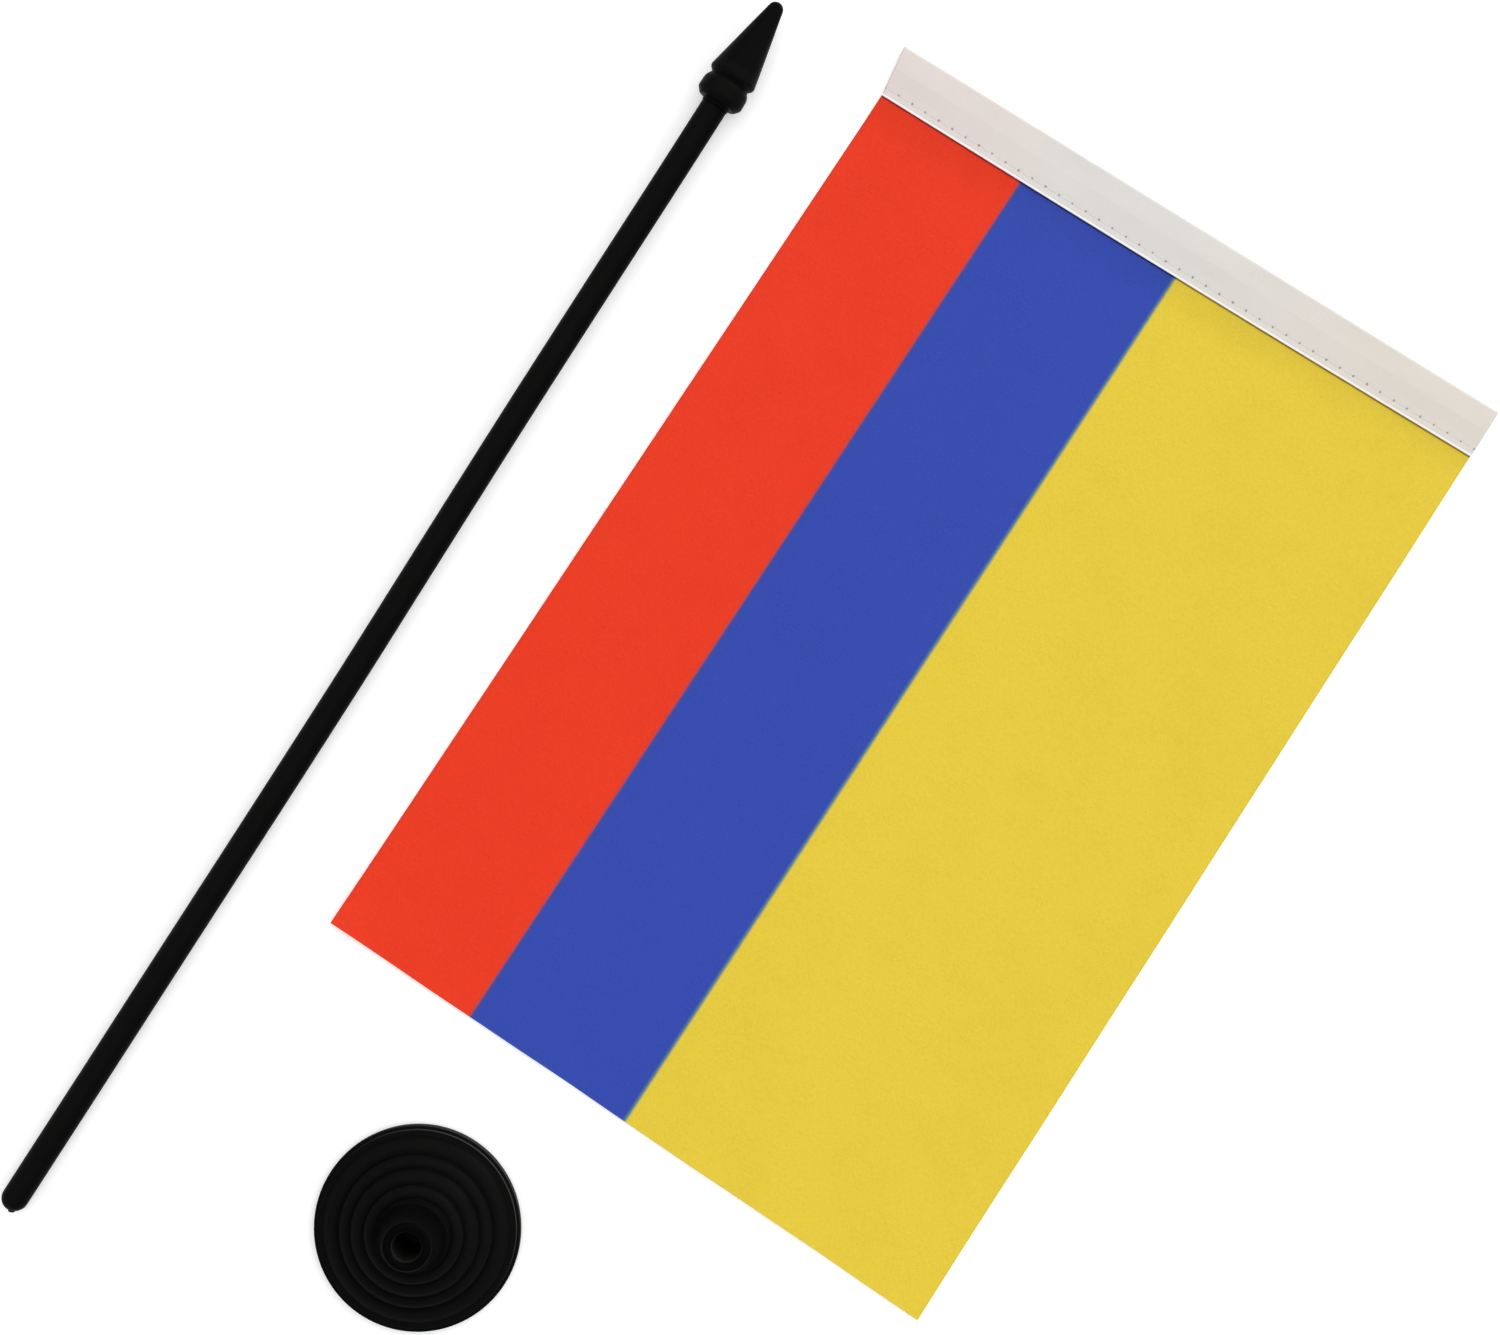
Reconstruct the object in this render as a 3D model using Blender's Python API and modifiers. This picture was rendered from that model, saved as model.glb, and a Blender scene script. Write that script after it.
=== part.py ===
"""Desk flag stand, taken apart and laid out flat.

A round stepped base with a central boss that takes the pole, a black pole with a spearhead finial,
and a printed cloth flag whose hoist edge is a folded sleeve for the pole. The base stands at the
origin, the pole lies on its left along +Y, and the flag lies to the right with its sleeve at the far end.

Lengths are in metres, +Z is up, and the surface that everything lies on is z = 0.
"""

import math

import bmesh
import bpy
from mathutils import Vector

MM = 0.001

# General fits
SEAT_GAP = 0.3 * MM  # between two pieces that touch
SLIP_FIT = 0.2 * MM  # radial, for a round piece pushed into a socket

# Base
BASE_RADIUS = 20.65 * MM
BASE_HEIGHT = 20.0 * MM
RIM_HEIGHT = 2.9 * MM
RIM_FILLET = 0.45 * MM
RIM_WALL = 2.0 * MM
RIM_LAND = 1.85 * MM  # width of the flat ring between the rim's edge and the first bead
CONE_HEIGHT = 9.7 * MM  # where the beaded cone meets the boss
BEAD_SHARES = (0.0, 0.31, 0.53, 0.79, 1.0)  # the grooves, from the land to the boss
BEAD_SWELL = 0.5 * MM
SHELL_WALL = 1.5 * MM
BOSS_WALL = 1.8 * MM  # round the bore, at the mouth
BOSS_FLARE = 2.9 * MM
BOSS_LIP = 0.8 * MM
MOUTH_CHAMFER = 0.5 * MM
SOCKET_TUBE_WALL = 1.5 * MM
SOCKET_FLOOR = 1.2 * MM
PLATE_THICKNESS = 0.9 * MM
PLATE_INSET = 0.1 * MM
REGISTER_HEIGHT = 0.8 * MM
REGISTER_WIDTH = 1.2 * MM
BALLAST_THICKNESS = 2.2 * MM

# Pole and finial
POLE_RADIUS = 2.7 * MM
POLE_LENGTH = 284.4 * MM  # foot to the finial's tip
FOOT_DOME = 2.8 * MM
SPIGOT_RADIUS = 1.9 * MM
SPIGOT_LENGTH = 8.0 * MM
SPIGOT_CHAMFER = 0.4 * MM
TIP_RADIUS = 1.6 * MM
SPEAR_LENGTH = 16.8 * MM  # tip to the cone's widest ring
SPEAR_RADIUS = 4.85 * MM
SPEAR_FILLET = 0.9 * MM
NECK_RADIUS = 4.1 * MM
NECK_LENGTH = 1.7 * MM
COLLAR_RADIUS = 4.9 * MM
COLLAR_LENGTH = 4.9 * MM
FERRULE_WALL = 0.35 * MM  # lip round the pole under the collar
FERRULE_LENGTH = 0.8 * MM

# Flag
CLOTH = 0.4 * MM
FLAG_WIDTH = 141.5 * MM  # along the free edge
FIELD_LENGTH = 201.7 * MM  # free edge to seam, at the middle
SEAM_TAKE_UP = 3.6 * MM  # the seam is this much shorter than the free edge
SEAM_SHIFT = 1.95 * MM
SEAM_TILT = math.radians(1.04)
FREE_EDGE_TILT = math.radians(-1.53)
SLEEVE_DEPTH = 10.55 * MM
FOLD_TAKE_UP = 2.2 * MM
FOLD_SHIFT = 1.2 * MM
FOLD_TILT = math.radians(0.9)
TUCK = 3.0 * MM  # how far the field reaches in between the sleeve's two layers
LIFT_RUN = 7.0 * MM  # the field rises over this length to enter the sleeve
THREAD_RADIUS = 0.15 * MM
STITCH_LENGTH = 3.13 * MM
STITCH_INSET = 1.6 * MM
STITCH_DIP = 0.1 * MM

# Layout on the table
BASE_TO_POLE = 49.7 * MM
POLE_FOOT_Y = -40.5 * MM
POLE_TO_FLAG = 22.9 * MM
BASE_TO_FLAG = 19.25 * MM

BASE_SEGMENTS = 48
POLE_SEGMENTS = 24

# What follows from the sizes above
BORE_RADIUS = POLE_RADIUS + SLIP_FIT
BOSS_TOP_RADIUS = BORE_RADIUS + BOSS_WALL
BOSS_ROOT_RADIUS = BOSS_TOP_RADIUS + BOSS_FLARE
CONE_RADIUS = BASE_RADIUS - RIM_LAND
TUBE_RADIUS = BORE_RADIUS + SOCKET_TUBE_WALL
SHELL_BOTTOM = PLATE_THICKNESS + SEAT_GAP
REGISTER_RADIUS = BASE_RADIUS - RIM_WALL - SEAT_GAP
POLE_X = -(BASE_RADIUS + BASE_TO_POLE)
FINIAL_LENGTH = SPEAR_LENGTH + NECK_LENGTH + COLLAR_LENGTH + FERRULE_LENGTH
FREE_EDGE_CENTRE = Vector((POLE_X + POLE_TO_FLAG + FLAG_WIDTH / 2, BASE_RADIUS + BASE_TO_FLAG, 0))
SEAM_CENTRE = FREE_EDGE_CENTRE + Vector((SEAM_SHIFT, FIELD_LENGTH, 0))
FOLD_CENTRE = FREE_EDGE_CENTRE + Vector((FOLD_SHIFT, FIELD_LENGTH + SLEEVE_DEPTH, 0))
LOWER_PLY_Z = CLOTH / 2
TUCKED_Z = LOWER_PLY_Z + CLOTH + SEAT_GAP
UPPER_PLY_Z = TUCKED_Z + CLOTH + SEAT_GAP


def clear_scene():
    """Remove every object that the scene holds."""
    for obj in list(bpy.data.objects):
        bpy.data.objects.remove(obj, do_unlink=True)


def new_collection(name):
    """A collection of that name, linked to the scene."""
    collection = bpy.data.collections.new(name)
    bpy.context.scene.collection.children.link(collection)
    return collection


def new_material(name, colour, roughness, metallic=0.0):
    """A plain Principled BSDF material."""
    material = bpy.data.materials.new(name)
    material.use_nodes = True
    shader = material.node_tree.nodes["Principled BSDF"]
    shader.inputs["Base Color"].default_value = (*colour, 1.0)
    shader.inputs["Roughness"].default_value = roughness
    shader.inputs["Metallic"].default_value = metallic
    material.diffuse_color = (*colour, 1.0)
    return material


def add_object(name, data, collection, material, parent=None):
    """Link an object that wears the material, under its parent if it has one."""
    data.materials.append(material)
    obj = bpy.data.objects.new(name, data)
    collection.objects.link(obj)
    obj.parent = parent
    return obj


def arc(centre, radii, start, end, steps):
    """Points (radius, height) on an elliptic arc between two angles in degrees."""
    points = []
    for step in range(steps + 1):
        angle = math.radians(start + (end - start) * step / steps)
        points.append((centre[0] + radii[0] * math.cos(angle), centre[1] + radii[1] * math.sin(angle)))
    return points


def bead(start, end, swell, steps):
    """Points between start and end, both left out, on an arch that swells off the line between them."""
    along = Vector(end) - Vector(start)
    outward = Vector((-along.y, along.x)).normalized()
    if outward.y < 0:
        outward = -outward
    points = []
    for step in range(1, steps):
        share = step / steps
        rise = swell * math.sin(math.pi * share) ** 0.6
        points.append(tuple(Vector(start) + along * share + outward * rise))
    return points


def turned(name, profile, segments, collection, material, parent=None):
    """A closed solid of revolution about Z, from a profile of (radius, height) points."""
    outline = bpy.data.meshes.new(name + "_profile")
    outline.from_pydata(
        [(radius, 0, height) for radius, height in profile],
        [(i, i + 1) for i in range(len(profile) - 1)],
        [],
    )
    spun = bpy.data.objects.new(name + "_profile", outline)
    collection.objects.link(spun)
    screw = spun.modifiers.new("turn", "SCREW")
    screw.steps = screw.render_steps = segments
    screw.use_merge_vertices = True
    screw.merge_threshold = 0.00001
    graph = bpy.context.evaluated_depsgraph_get()
    mesh = bpy.data.meshes.new_from_object(spun.evaluated_get(graph))
    bpy.data.objects.remove(spun, do_unlink=True)
    mesh.name = name
    mesh.shade_smooth()
    mesh.set_sharp_from_angle(angle=math.radians(32))
    return add_object(name, mesh, collection, material, parent)


def groove_points():
    """The grooves of the beaded cone, from the land at the rim up to the boss."""
    return [
        (
            CONE_RADIUS + (BOSS_ROOT_RADIUS - CONE_RADIUS) * share,
            RIM_HEIGHT + (CONE_HEIGHT - RIM_HEIGHT) * share,
        )
        for share in BEAD_SHARES
    ]


def ceiling_height(radius):
    """Height of the hollow's ceiling under the beaded cone."""
    slope = (CONE_HEIGHT - RIM_HEIGHT) / (CONE_RADIUS - BOSS_ROOT_RADIUS)
    return RIM_HEIGHT + (CONE_RADIUS - radius) * slope - SHELL_WALL


def ceiling_radius(height):
    """Radius at which the hollow's ceiling has that height."""
    slope = (CONE_HEIGHT - RIM_HEIGHT) / (CONE_RADIUS - BOSS_ROOT_RADIUS)
    return CONE_RADIUS - (height + SHELL_WALL - RIM_HEIGHT) / slope


def shell_profile():
    """Half section of the base's moulded shell, from the socket's floor over the outside to the hollow."""
    socket_floor = SHELL_BOTTOM + SOCKET_FLOOR
    profile = [(0, socket_floor), (BORE_RADIUS, socket_floor)]
    profile += [(BORE_RADIUS, BASE_HEIGHT - MOUTH_CHAMFER), (BORE_RADIUS + MOUTH_CHAMFER, BASE_HEIGHT)]
    lip_centre = (BOSS_TOP_RADIUS - BOSS_LIP, BASE_HEIGHT - BOSS_LIP)
    profile += arc(lip_centre, (BOSS_LIP, BOSS_LIP), 90, 5, 4)
    grooves = groove_points()[::-1]
    profile.append(grooves[0])
    for start, end in zip(grooves, grooves[1:]):
        profile += bead(start, end, BEAD_SWELL, 5)
        profile.append(end)
    fillet_centre = (BASE_RADIUS - RIM_FILLET, RIM_HEIGHT - RIM_FILLET)
    profile += arc(fillet_centre, (RIM_FILLET, RIM_FILLET), 90, 0, 3)
    profile.append((BASE_RADIUS, SHELL_BOTTOM))
    hollow_radius = BASE_RADIUS - RIM_WALL
    hollow_edge = SHELL_BOTTOM + SEAT_GAP + REGISTER_HEIGHT
    profile += [(hollow_radius, SHELL_BOTTOM), (hollow_radius, hollow_edge)]
    profile.append((min(ceiling_radius(hollow_edge), hollow_radius - SEAT_GAP), hollow_edge))
    boss_inner = BOSS_ROOT_RADIUS - SHELL_WALL
    profile.append((boss_inner, ceiling_height(boss_inner)))
    flare_slope = (BASE_HEIGHT - BOSS_LIP - CONE_HEIGHT) / BOSS_FLARE
    crown = ceiling_height(boss_inner) + (boss_inner - TUBE_RADIUS) * flare_slope
    crown = min(crown, BASE_HEIGHT - BOSS_LIP - SHELL_WALL)
    profile += [(TUBE_RADIUS, crown), (TUBE_RADIUS, SHELL_BOTTOM), (0, SHELL_BOTTOM)]
    return profile


def plate_profile():
    """Half section of the cover under the base: a flat disc with a ring that locates it in the shell."""
    edge = BASE_RADIUS - PLATE_INSET
    chamfer = PLATE_INSET * 2
    ring_inner = REGISTER_RADIUS - REGISTER_WIDTH
    ring_top = PLATE_THICKNESS + REGISTER_HEIGHT
    return [
        (0, PLATE_THICKNESS),
        (ring_inner, PLATE_THICKNESS),
        (ring_inner, ring_top),
        (REGISTER_RADIUS, ring_top),
        (REGISTER_RADIUS, PLATE_THICKNESS),
        (edge, PLATE_THICKNESS),
        (edge, chamfer),
        (edge - chamfer, 0),
        (0, 0),
    ]


def ballast_profile():
    """Closed half section of the steel ring that lies on the cover, round the socket's tube."""
    low = PLATE_THICKNESS + SEAT_GAP
    high = low + BALLAST_THICKNESS
    inner = TUBE_RADIUS + SEAT_GAP
    outer = min(ceiling_radius(high + SEAT_GAP), REGISTER_RADIUS - REGISTER_WIDTH) - SEAT_GAP
    return [(inner, low), (inner, high), (outer, high), (outer, low), (inner, low)]


def rod_profile():
    """Half section of the pole's rod, from the spigot's end down to the domed foot."""
    shoulder = POLE_LENGTH - FINIAL_LENGTH - SEAT_GAP
    spigot_end = shoulder + SPIGOT_LENGTH
    profile = [
        (0, spigot_end),
        (SPIGOT_RADIUS - SPIGOT_CHAMFER, spigot_end),
        (SPIGOT_RADIUS, spigot_end - SPIGOT_CHAMFER),
        (SPIGOT_RADIUS, shoulder),
        (POLE_RADIUS, shoulder),
    ]
    profile += arc((0, FOOT_DOME), (POLE_RADIUS, FOOT_DOME), 0, -90, 6)
    return profile


def finial_profile():
    """Half section of the finial, from its tip over spear, neck and collar to the socket's blind end."""
    spear_low = POLE_LENGTH - SPEAR_LENGTH
    neck_low = spear_low - NECK_LENGTH
    collar_low = neck_low - COLLAR_LENGTH
    finial_low = POLE_LENGTH - FINIAL_LENGTH
    cone_angle = math.degrees(math.atan2(SPEAR_RADIUS - TIP_RADIUS, SPEAR_LENGTH - TIP_RADIUS))
    profile = arc((0, POLE_LENGTH - TIP_RADIUS), (TIP_RADIUS, TIP_RADIUS), 90, cone_angle, 4)
    edge_centre = (SPEAR_RADIUS - SPEAR_FILLET, spear_low)
    profile += arc(edge_centre, (SPEAR_FILLET, SPEAR_FILLET), cone_angle, -90, 4)
    profile += [(NECK_RADIUS, spear_low - SPEAR_FILLET), (NECK_RADIUS, neck_low)]
    collar_middle = (neck_low + collar_low) / 2
    collar_swell = (COLLAR_RADIUS - NECK_RADIUS, COLLAR_LENGTH / 2)
    profile += arc((NECK_RADIUS, collar_middle), collar_swell, 75, -75, 6)
    ferrule = POLE_RADIUS + FERRULE_WALL
    profile += [(NECK_RADIUS, collar_low), (ferrule, collar_low), (ferrule, finial_low)]
    socket_radius = SPIGOT_RADIUS + SLIP_FIT
    socket_end = finial_low + SPIGOT_LENGTH + SEAT_GAP
    profile += [(socket_radius, finial_low), (socket_radius, socket_end), (0, socket_end)]
    return profile


def edge_points(centre, width, tilt):
    """The two ends of a straight edge of the flag, the pole's side first."""
    half = Vector((math.cos(tilt), math.sin(tilt), 0)) * (width / 2)
    return centre - half, centre + half


def flag_edges():
    """The flag's free edge, seam and fold, each as its two ends."""
    return (
        edge_points(FREE_EDGE_CENTRE, FLAG_WIDTH, FREE_EDGE_TILT),
        edge_points(SEAM_CENTRE, FLAG_WIDTH - SEAM_TAKE_UP, SEAM_TILT),
        edge_points(FOLD_CENTRE, FLAG_WIDTH - FOLD_TAKE_UP, FOLD_TILT),
    )


def sheet(name, rows, collection, material):
    """A cloth solid: the open surface through rows of points, thickened both ways by half a cloth."""
    mesh = bpy.data.meshes.new(name)
    build = bmesh.new()
    grid = [[build.verts.new(point) for point in row] for row in rows]
    for lower, upper in zip(grid, grid[1:]):
        for i in range(len(lower) - 1):
            build.faces.new((lower[i], lower[i + 1], upper[i + 1], upper[i]))
    bmesh.ops.recalc_face_normals(build, faces=build.faces)
    build.to_mesh(mesh)
    build.free()
    obj = add_object(name, mesh, collection, material)
    solidify = obj.modifiers.new("cloth", "SOLIDIFY")
    solidify.thickness = CLOTH
    solidify.offset = 0.0
    solidify.use_even_offset = True
    return obj


def across(left, right, height, columns=6):
    """Evenly spaced points from left to right, all at one height."""
    return [(*left.lerp(right, i / columns).xy, height) for i in range(columns + 1)]


def build_field(collection, material):
    """The printed field: flat on the table, rising at the seam to enter the sleeve."""
    free_edge, seam, fold = flag_edges()
    lift_start = 1 - LIFT_RUN / FIELD_LENGTH
    rows = [across(*free_edge, LOWER_PLY_Z)]
    for share, rise in ((lift_start, 0.0), (1 - 0.75 * (1 - lift_start), 0.15), (1 - 0.35 * (1 - lift_start), 0.85)):
        left, right = (start.lerp(end, share) for start, end in zip(free_edge, seam))
        rows.append(across(left, right, LOWER_PLY_Z + (TUCKED_Z - LOWER_PLY_Z) * rise))
    for share in (0.0, TUCK / SLEEVE_DEPTH):
        left, right = (start.lerp(end, share) for start, end in zip(seam, fold))
        if share == 0.0:
            before = 0.15 * LIFT_RUN / FIELD_LENGTH
            left, right = (start.lerp(end, 1 - before) for start, end in zip(free_edge, seam))
        rows.append(across(left, right, TUCKED_Z))
    return sheet("flag_field", rows, collection, material)


def sleeve_section():
    """The sleeve's cross section as (share of its depth, height): lower layer, fold, upper layer."""
    fold_radius = (UPPER_PLY_Z - LOWER_PLY_Z) / 2
    reach = fold_radius / SLEEVE_DEPTH
    middle = (UPPER_PLY_Z + LOWER_PLY_Z) / 2
    inset = CLOTH / 2 / SLEEVE_DEPTH
    section = [(share, LOWER_PLY_Z) for share in (0.0, 0.35, 0.7)]
    section += arc((1 - reach - inset, middle), (reach, fold_radius), -90, 90, 8)
    section += [(share, UPPER_PLY_Z) for share in (0.7, 0.35, 0.0)]
    return section


def build_sleeve(collection, material):
    """The sleeve: one strip of cloth folded over, open along the seam where it clasps the field."""
    _, seam, fold = flag_edges()
    rows = []
    for share, height in sleeve_section():
        left, right = (start.lerp(end, share) for start, end in zip(seam, fold))
        rows.append(across(left, right, height))
    return sheet("flag_sleeve", rows, collection, material)


def build_stitching(collection, material):
    """The row of stitches along the sleeve: one strand that dips at every needle hole."""
    _, seam, fold = flag_edges()
    share = STITCH_INSET / SLEEVE_DEPTH
    left, right = (start.lerp(end, share) for start, end in zip(seam, fold))
    stitches = round((right - left).length / STITCH_LENGTH)
    height = UPPER_PLY_Z + CLOTH / 2 + SEAT_GAP + THREAD_RADIUS + STITCH_DIP
    curve = bpy.data.curves.new("sleeve_stitching", "CURVE")
    curve.dimensions = "3D"
    curve.bevel_depth = THREAD_RADIUS
    curve.bevel_resolution = 0
    curve.use_fill_caps = True
    spline = curve.splines.new("POLY")
    spline.points.add(2 * stitches)
    for i, point in enumerate(spline.points):
        place = left.lerp(right, i / (2 * stitches))
        dip = STITCH_DIP if i % 2 == 0 else 0.0
        point.co = (place.x, place.y, height - dip, 1.0)
    return add_object("sleeve_stitching", curve, collection, material)


def build_base(collection, plastic, steel):
    """The base's three pieces, concentric about Z."""
    turned("base_shell", shell_profile(), BASE_SEGMENTS, collection, plastic)
    turned("base_plate", plate_profile(), BASE_SEGMENTS, collection, plastic)
    turned("ballast_washer", ballast_profile(), BASE_SEGMENTS, collection, steel)


def build_pole(collection, plastic):
    """The rod and its finial, lying on the table: they rest on the foot and on the collar."""
    collar_from_foot = POLE_LENGTH - SPEAR_LENGTH - NECK_LENGTH - COLLAR_LENGTH / 2
    run = collar_from_foot - FOOT_DOME
    tilt = math.atan2(COLLAR_RADIUS - POLE_RADIUS, run)
    foot = bpy.data.objects.new("pole_axis", None)
    foot.empty_display_size = 0.01
    collection.objects.link(foot)
    axis_height = POLE_RADIUS / math.cos(tilt) - FOOT_DOME * math.sin(tilt)
    foot.location = (POLE_X, POLE_FOOT_Y, axis_height)
    foot.rotation_euler = (tilt - math.pi / 2, 0, 0)
    turned("pole_rod", rod_profile(), POLE_SEGMENTS, collection, plastic, foot)
    turned("finial", finial_profile(), POLE_SEGMENTS, collection, plastic, foot)


def main():
    clear_scene()
    collection = new_collection("desk_flag_stand")
    black_plastic = new_material("black_plastic", (0.006, 0.006, 0.007), 0.35)
    steel = new_material("zinc_plated_steel", (0.55, 0.56, 0.58), 0.4, 1.0)
    printed_cloth = new_material("printed_cloth", (0.80, 0.60, 0.058), 0.8)
    white_cloth = new_material("white_cloth", (0.76, 0.70, 0.66), 0.8)
    thread = new_material("white_thread", (0.72, 0.66, 0.62), 0.7)
    build_base(collection, black_plastic, steel)
    build_pole(collection, black_plastic)
    build_field(collection, printed_cloth)
    build_sleeve(collection, white_cloth)
    build_stitching(collection, thread)


main()
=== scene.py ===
"""Looks of the desk flag stand: its moulded black base and pole, and its printed, sleeved cloth flag.

Everything is in metres and in the frame's own axes: +Z up from the table, +Y along the lying pole from
foot to finial, +X from the pole towards the flag, with the origin under the middle of the base.
"""

from __future__ import annotations

import logging
import math
from collections.abc import Callable, Sequence
from dataclasses import dataclass, field
from enum import Enum

import bpy
import numpy as np
from mathutils import Matrix, Vector

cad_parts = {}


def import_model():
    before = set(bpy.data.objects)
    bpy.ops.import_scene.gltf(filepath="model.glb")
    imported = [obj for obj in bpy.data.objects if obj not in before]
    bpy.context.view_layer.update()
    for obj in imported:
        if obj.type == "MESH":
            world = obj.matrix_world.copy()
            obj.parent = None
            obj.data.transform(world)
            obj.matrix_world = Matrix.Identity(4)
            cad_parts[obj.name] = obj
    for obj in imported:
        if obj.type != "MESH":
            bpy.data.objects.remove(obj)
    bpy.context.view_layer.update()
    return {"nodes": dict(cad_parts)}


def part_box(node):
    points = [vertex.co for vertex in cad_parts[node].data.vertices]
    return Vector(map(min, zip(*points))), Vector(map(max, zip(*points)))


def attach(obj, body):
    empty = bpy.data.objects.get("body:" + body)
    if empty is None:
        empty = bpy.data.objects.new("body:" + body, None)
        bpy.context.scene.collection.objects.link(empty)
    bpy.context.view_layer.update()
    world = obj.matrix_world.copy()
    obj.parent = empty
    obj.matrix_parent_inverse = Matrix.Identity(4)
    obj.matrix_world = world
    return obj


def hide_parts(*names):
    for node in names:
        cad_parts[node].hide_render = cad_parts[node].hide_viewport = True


MM = 0.001
LOG = logging.getLogger("desk_flag_stand")

STRAIGHT = 1e-3  # a turn in radians that is too small to need a fillet
STITCH_INSET = 1.6 * MM  # from the sleeve's seam edge to the row of stitches

Colour = tuple[float, float, float]
Corner = tuple[float, float, float]  # radius or distance, height, and the fillet's radius there
Direction = tuple[float, float, float]
Stop = tuple[float, Colour]  # a place on a colour ramp, and its colour
Wave = tuple[float, float, float, float]  # height, pitch across, pitch along, phase


class Body(Enum):
    """The bodies that pieces ride on."""

    BASE = "base"
    POLE = "pole"
    FLAG = "flag"


class Slot(Enum):
    """The record's material slots."""

    BLACK_PLASTIC = "black_plastic"
    STEEL = "zinc_plated_steel"
    PRINTED_CLOTH = "printed_cloth"
    WHITE_CLOTH = "white_cloth"
    THREAD = "white_thread"


class Stripe(Enum):
    """The flag's printed stripes, each with its ink's colour."""

    RED = (0.822, 0.0340, 0.0042)
    BLUE = (0.0240, 0.0600, 0.415)
    YELLOW = (0.786, 0.586, 0.0400)


PLAIN_BLACK: Colour = (0.0, 0.0, 0.0)


# ---------------------------------------------------------------------------------------------
# Shapes
# ---------------------------------------------------------------------------------------------


def smooth_step(values: np.ndarray) -> np.ndarray:
    """Ease from 0 to 1: 3x^2 - 2x^3 of the values held between 0 and 1.

    Args:
        values: Any array.

    Returns:
        The eased array, of the same shape.
    """
    held = np.clip(values, 0.0, 1.0)
    return held * held * (3.0 - 2.0 * held)


def filleted(corners: Sequence[Corner], steps: int = 5) -> np.ndarray:
    """Round the corners of an open outline.

    Each inner corner becomes a circular arc tangent to its two sides: for a turn by angle a and a
    fillet of radius r, the arc starts r * tan(a / 2) before the corner, and its centre lies r away from
    that point, square to the side, where the outline turns to.

    Args:
        corners: The outline's corners, each with the radius of its fillet, 0 for a sharp one.
        steps: Pieces per fillet.

    Returns:
        The outline's points, one row each.
    """
    points = np.array([corner[:2] for corner in corners], float)
    outline = [points[:1]]
    share = np.linspace(0.0, 1.0, steps + 1)[:, None]
    for i in range(1, len(corners) - 1):
        radius = corners[i][2]
        before, here, after = points[i - 1], points[i], points[i + 1]
        inward = (here - before) / np.linalg.norm(here - before)
        outward = (after - here) / np.linalg.norm(after - here)
        turn = math.acos(float(np.clip(inward @ outward, -1.0, 1.0)))
        if radius <= 0.0 or turn < STRAIGHT:
            outline.append(here[None])
            continue
        reach = radius * math.tan(turn / 2)
        start = here - inward * reach
        side = np.sign(inward[0] * outward[1] - inward[1] * outward[0])
        centre = start + radius * side * np.array([-inward[1], inward[0]])
        spoke = (start - centre)[None]
        angle = side * turn * share
        turned = np.concatenate(
            [
                spoke[:, :1] * np.cos(angle) - spoke[:, 1:] * np.sin(angle),
                spoke[:, :1] * np.sin(angle) + spoke[:, 1:] * np.cos(angle),
            ],
            axis=1,
        )
        outline.append(centre + turned)
    outline.append(points[-1:])
    return np.concatenate(outline)


def resampled(path: np.ndarray, spacing: float) -> np.ndarray:
    """Add points to a path so that none of its pieces is longer than the spacing.

    Args:
        path: Points, one row each.
        spacing: The longest piece.

    Returns:
        The path with its own points kept.
    """
    lengths = np.linalg.norm(np.diff(path, axis=0), axis=1)
    parts = np.maximum(np.ceil(lengths / spacing).astype(int), 1)
    start = np.repeat(np.arange(len(parts)), parts)
    step = np.concatenate([np.arange(count) for count in parts]) / parts[start]
    inner = path[start] + (path[start + 1] - path[start]) * step[:, None]
    return np.concatenate([inner, path[-1:]])


def curve_through(values: Sequence[float], share: np.ndarray) -> np.ndarray:
    """A smooth curve through evenly spaced values.

    It is the Catmull-Rom cubic: between two values a and b with neighbours o and n, and t the share of
    the way, it is a + t (b - o) / 2 + t^2 (o - 5a/2 + 2b - n/2) + t^3 (3 (a - b) + n - o) / 2.

    Args:
        values: The values, the first at share 0 and the last at share 1.
        share: Where to read the curve, from 0 to 1.

    Returns:
        The curve at those shares.
    """
    padded = np.array([values[0], *values, values[-1]], float)
    place = np.clip(share, 0.0, 1.0) * (len(values) - 1)
    start = np.minimum(place.astype(int), len(values) - 2)
    t = place - start
    o, a, b, n = (padded[start + step] for step in range(4))
    bend = o - 2.5 * a + 2.0 * b - 0.5 * n
    return a + 0.5 * t * (b - o) + t**2 * bend + 0.5 * t**3 * (3.0 * (a - b) + n - o)


def ripple(wave: Wave, a: np.ndarray, b: np.ndarray) -> np.ndarray:
    """A wave about zero: height * sin(2 pi (a / pitch across + b / pitch along) + phase).

    Args:
        wave: Height, pitch across, pitch along and phase.
        a: Distances across.
        b: Distances along.

    Returns:
        The wave's heights.
    """
    height, pitch_a, pitch_b, phase = wave
    return height * np.sin(math.tau * (a / pitch_a + b / pitch_b) + phase)


def swell(wave: Wave, a: np.ndarray, b: np.ndarray) -> np.ndarray:
    """A wave that never dips below zero: its height more than the ripple of the same numbers."""
    return wave[0] + ripple(wave, a, b)


def new_object(name: str, mesh: bpy.types.Mesh, material: bpy.types.Material) -> bpy.types.Object:
    """Link an object at the origin that wears the material, shaded smooth.

    Args:
        name: The object's name.
        mesh: Its shape.
        material: Its finish.

    Returns:
        The object.
    """
    mesh.materials.append(material)
    mesh.shade_smooth()
    obj = bpy.data.objects.new(name, mesh)
    bpy.context.scene.collection.objects.link(obj)
    return obj


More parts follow.
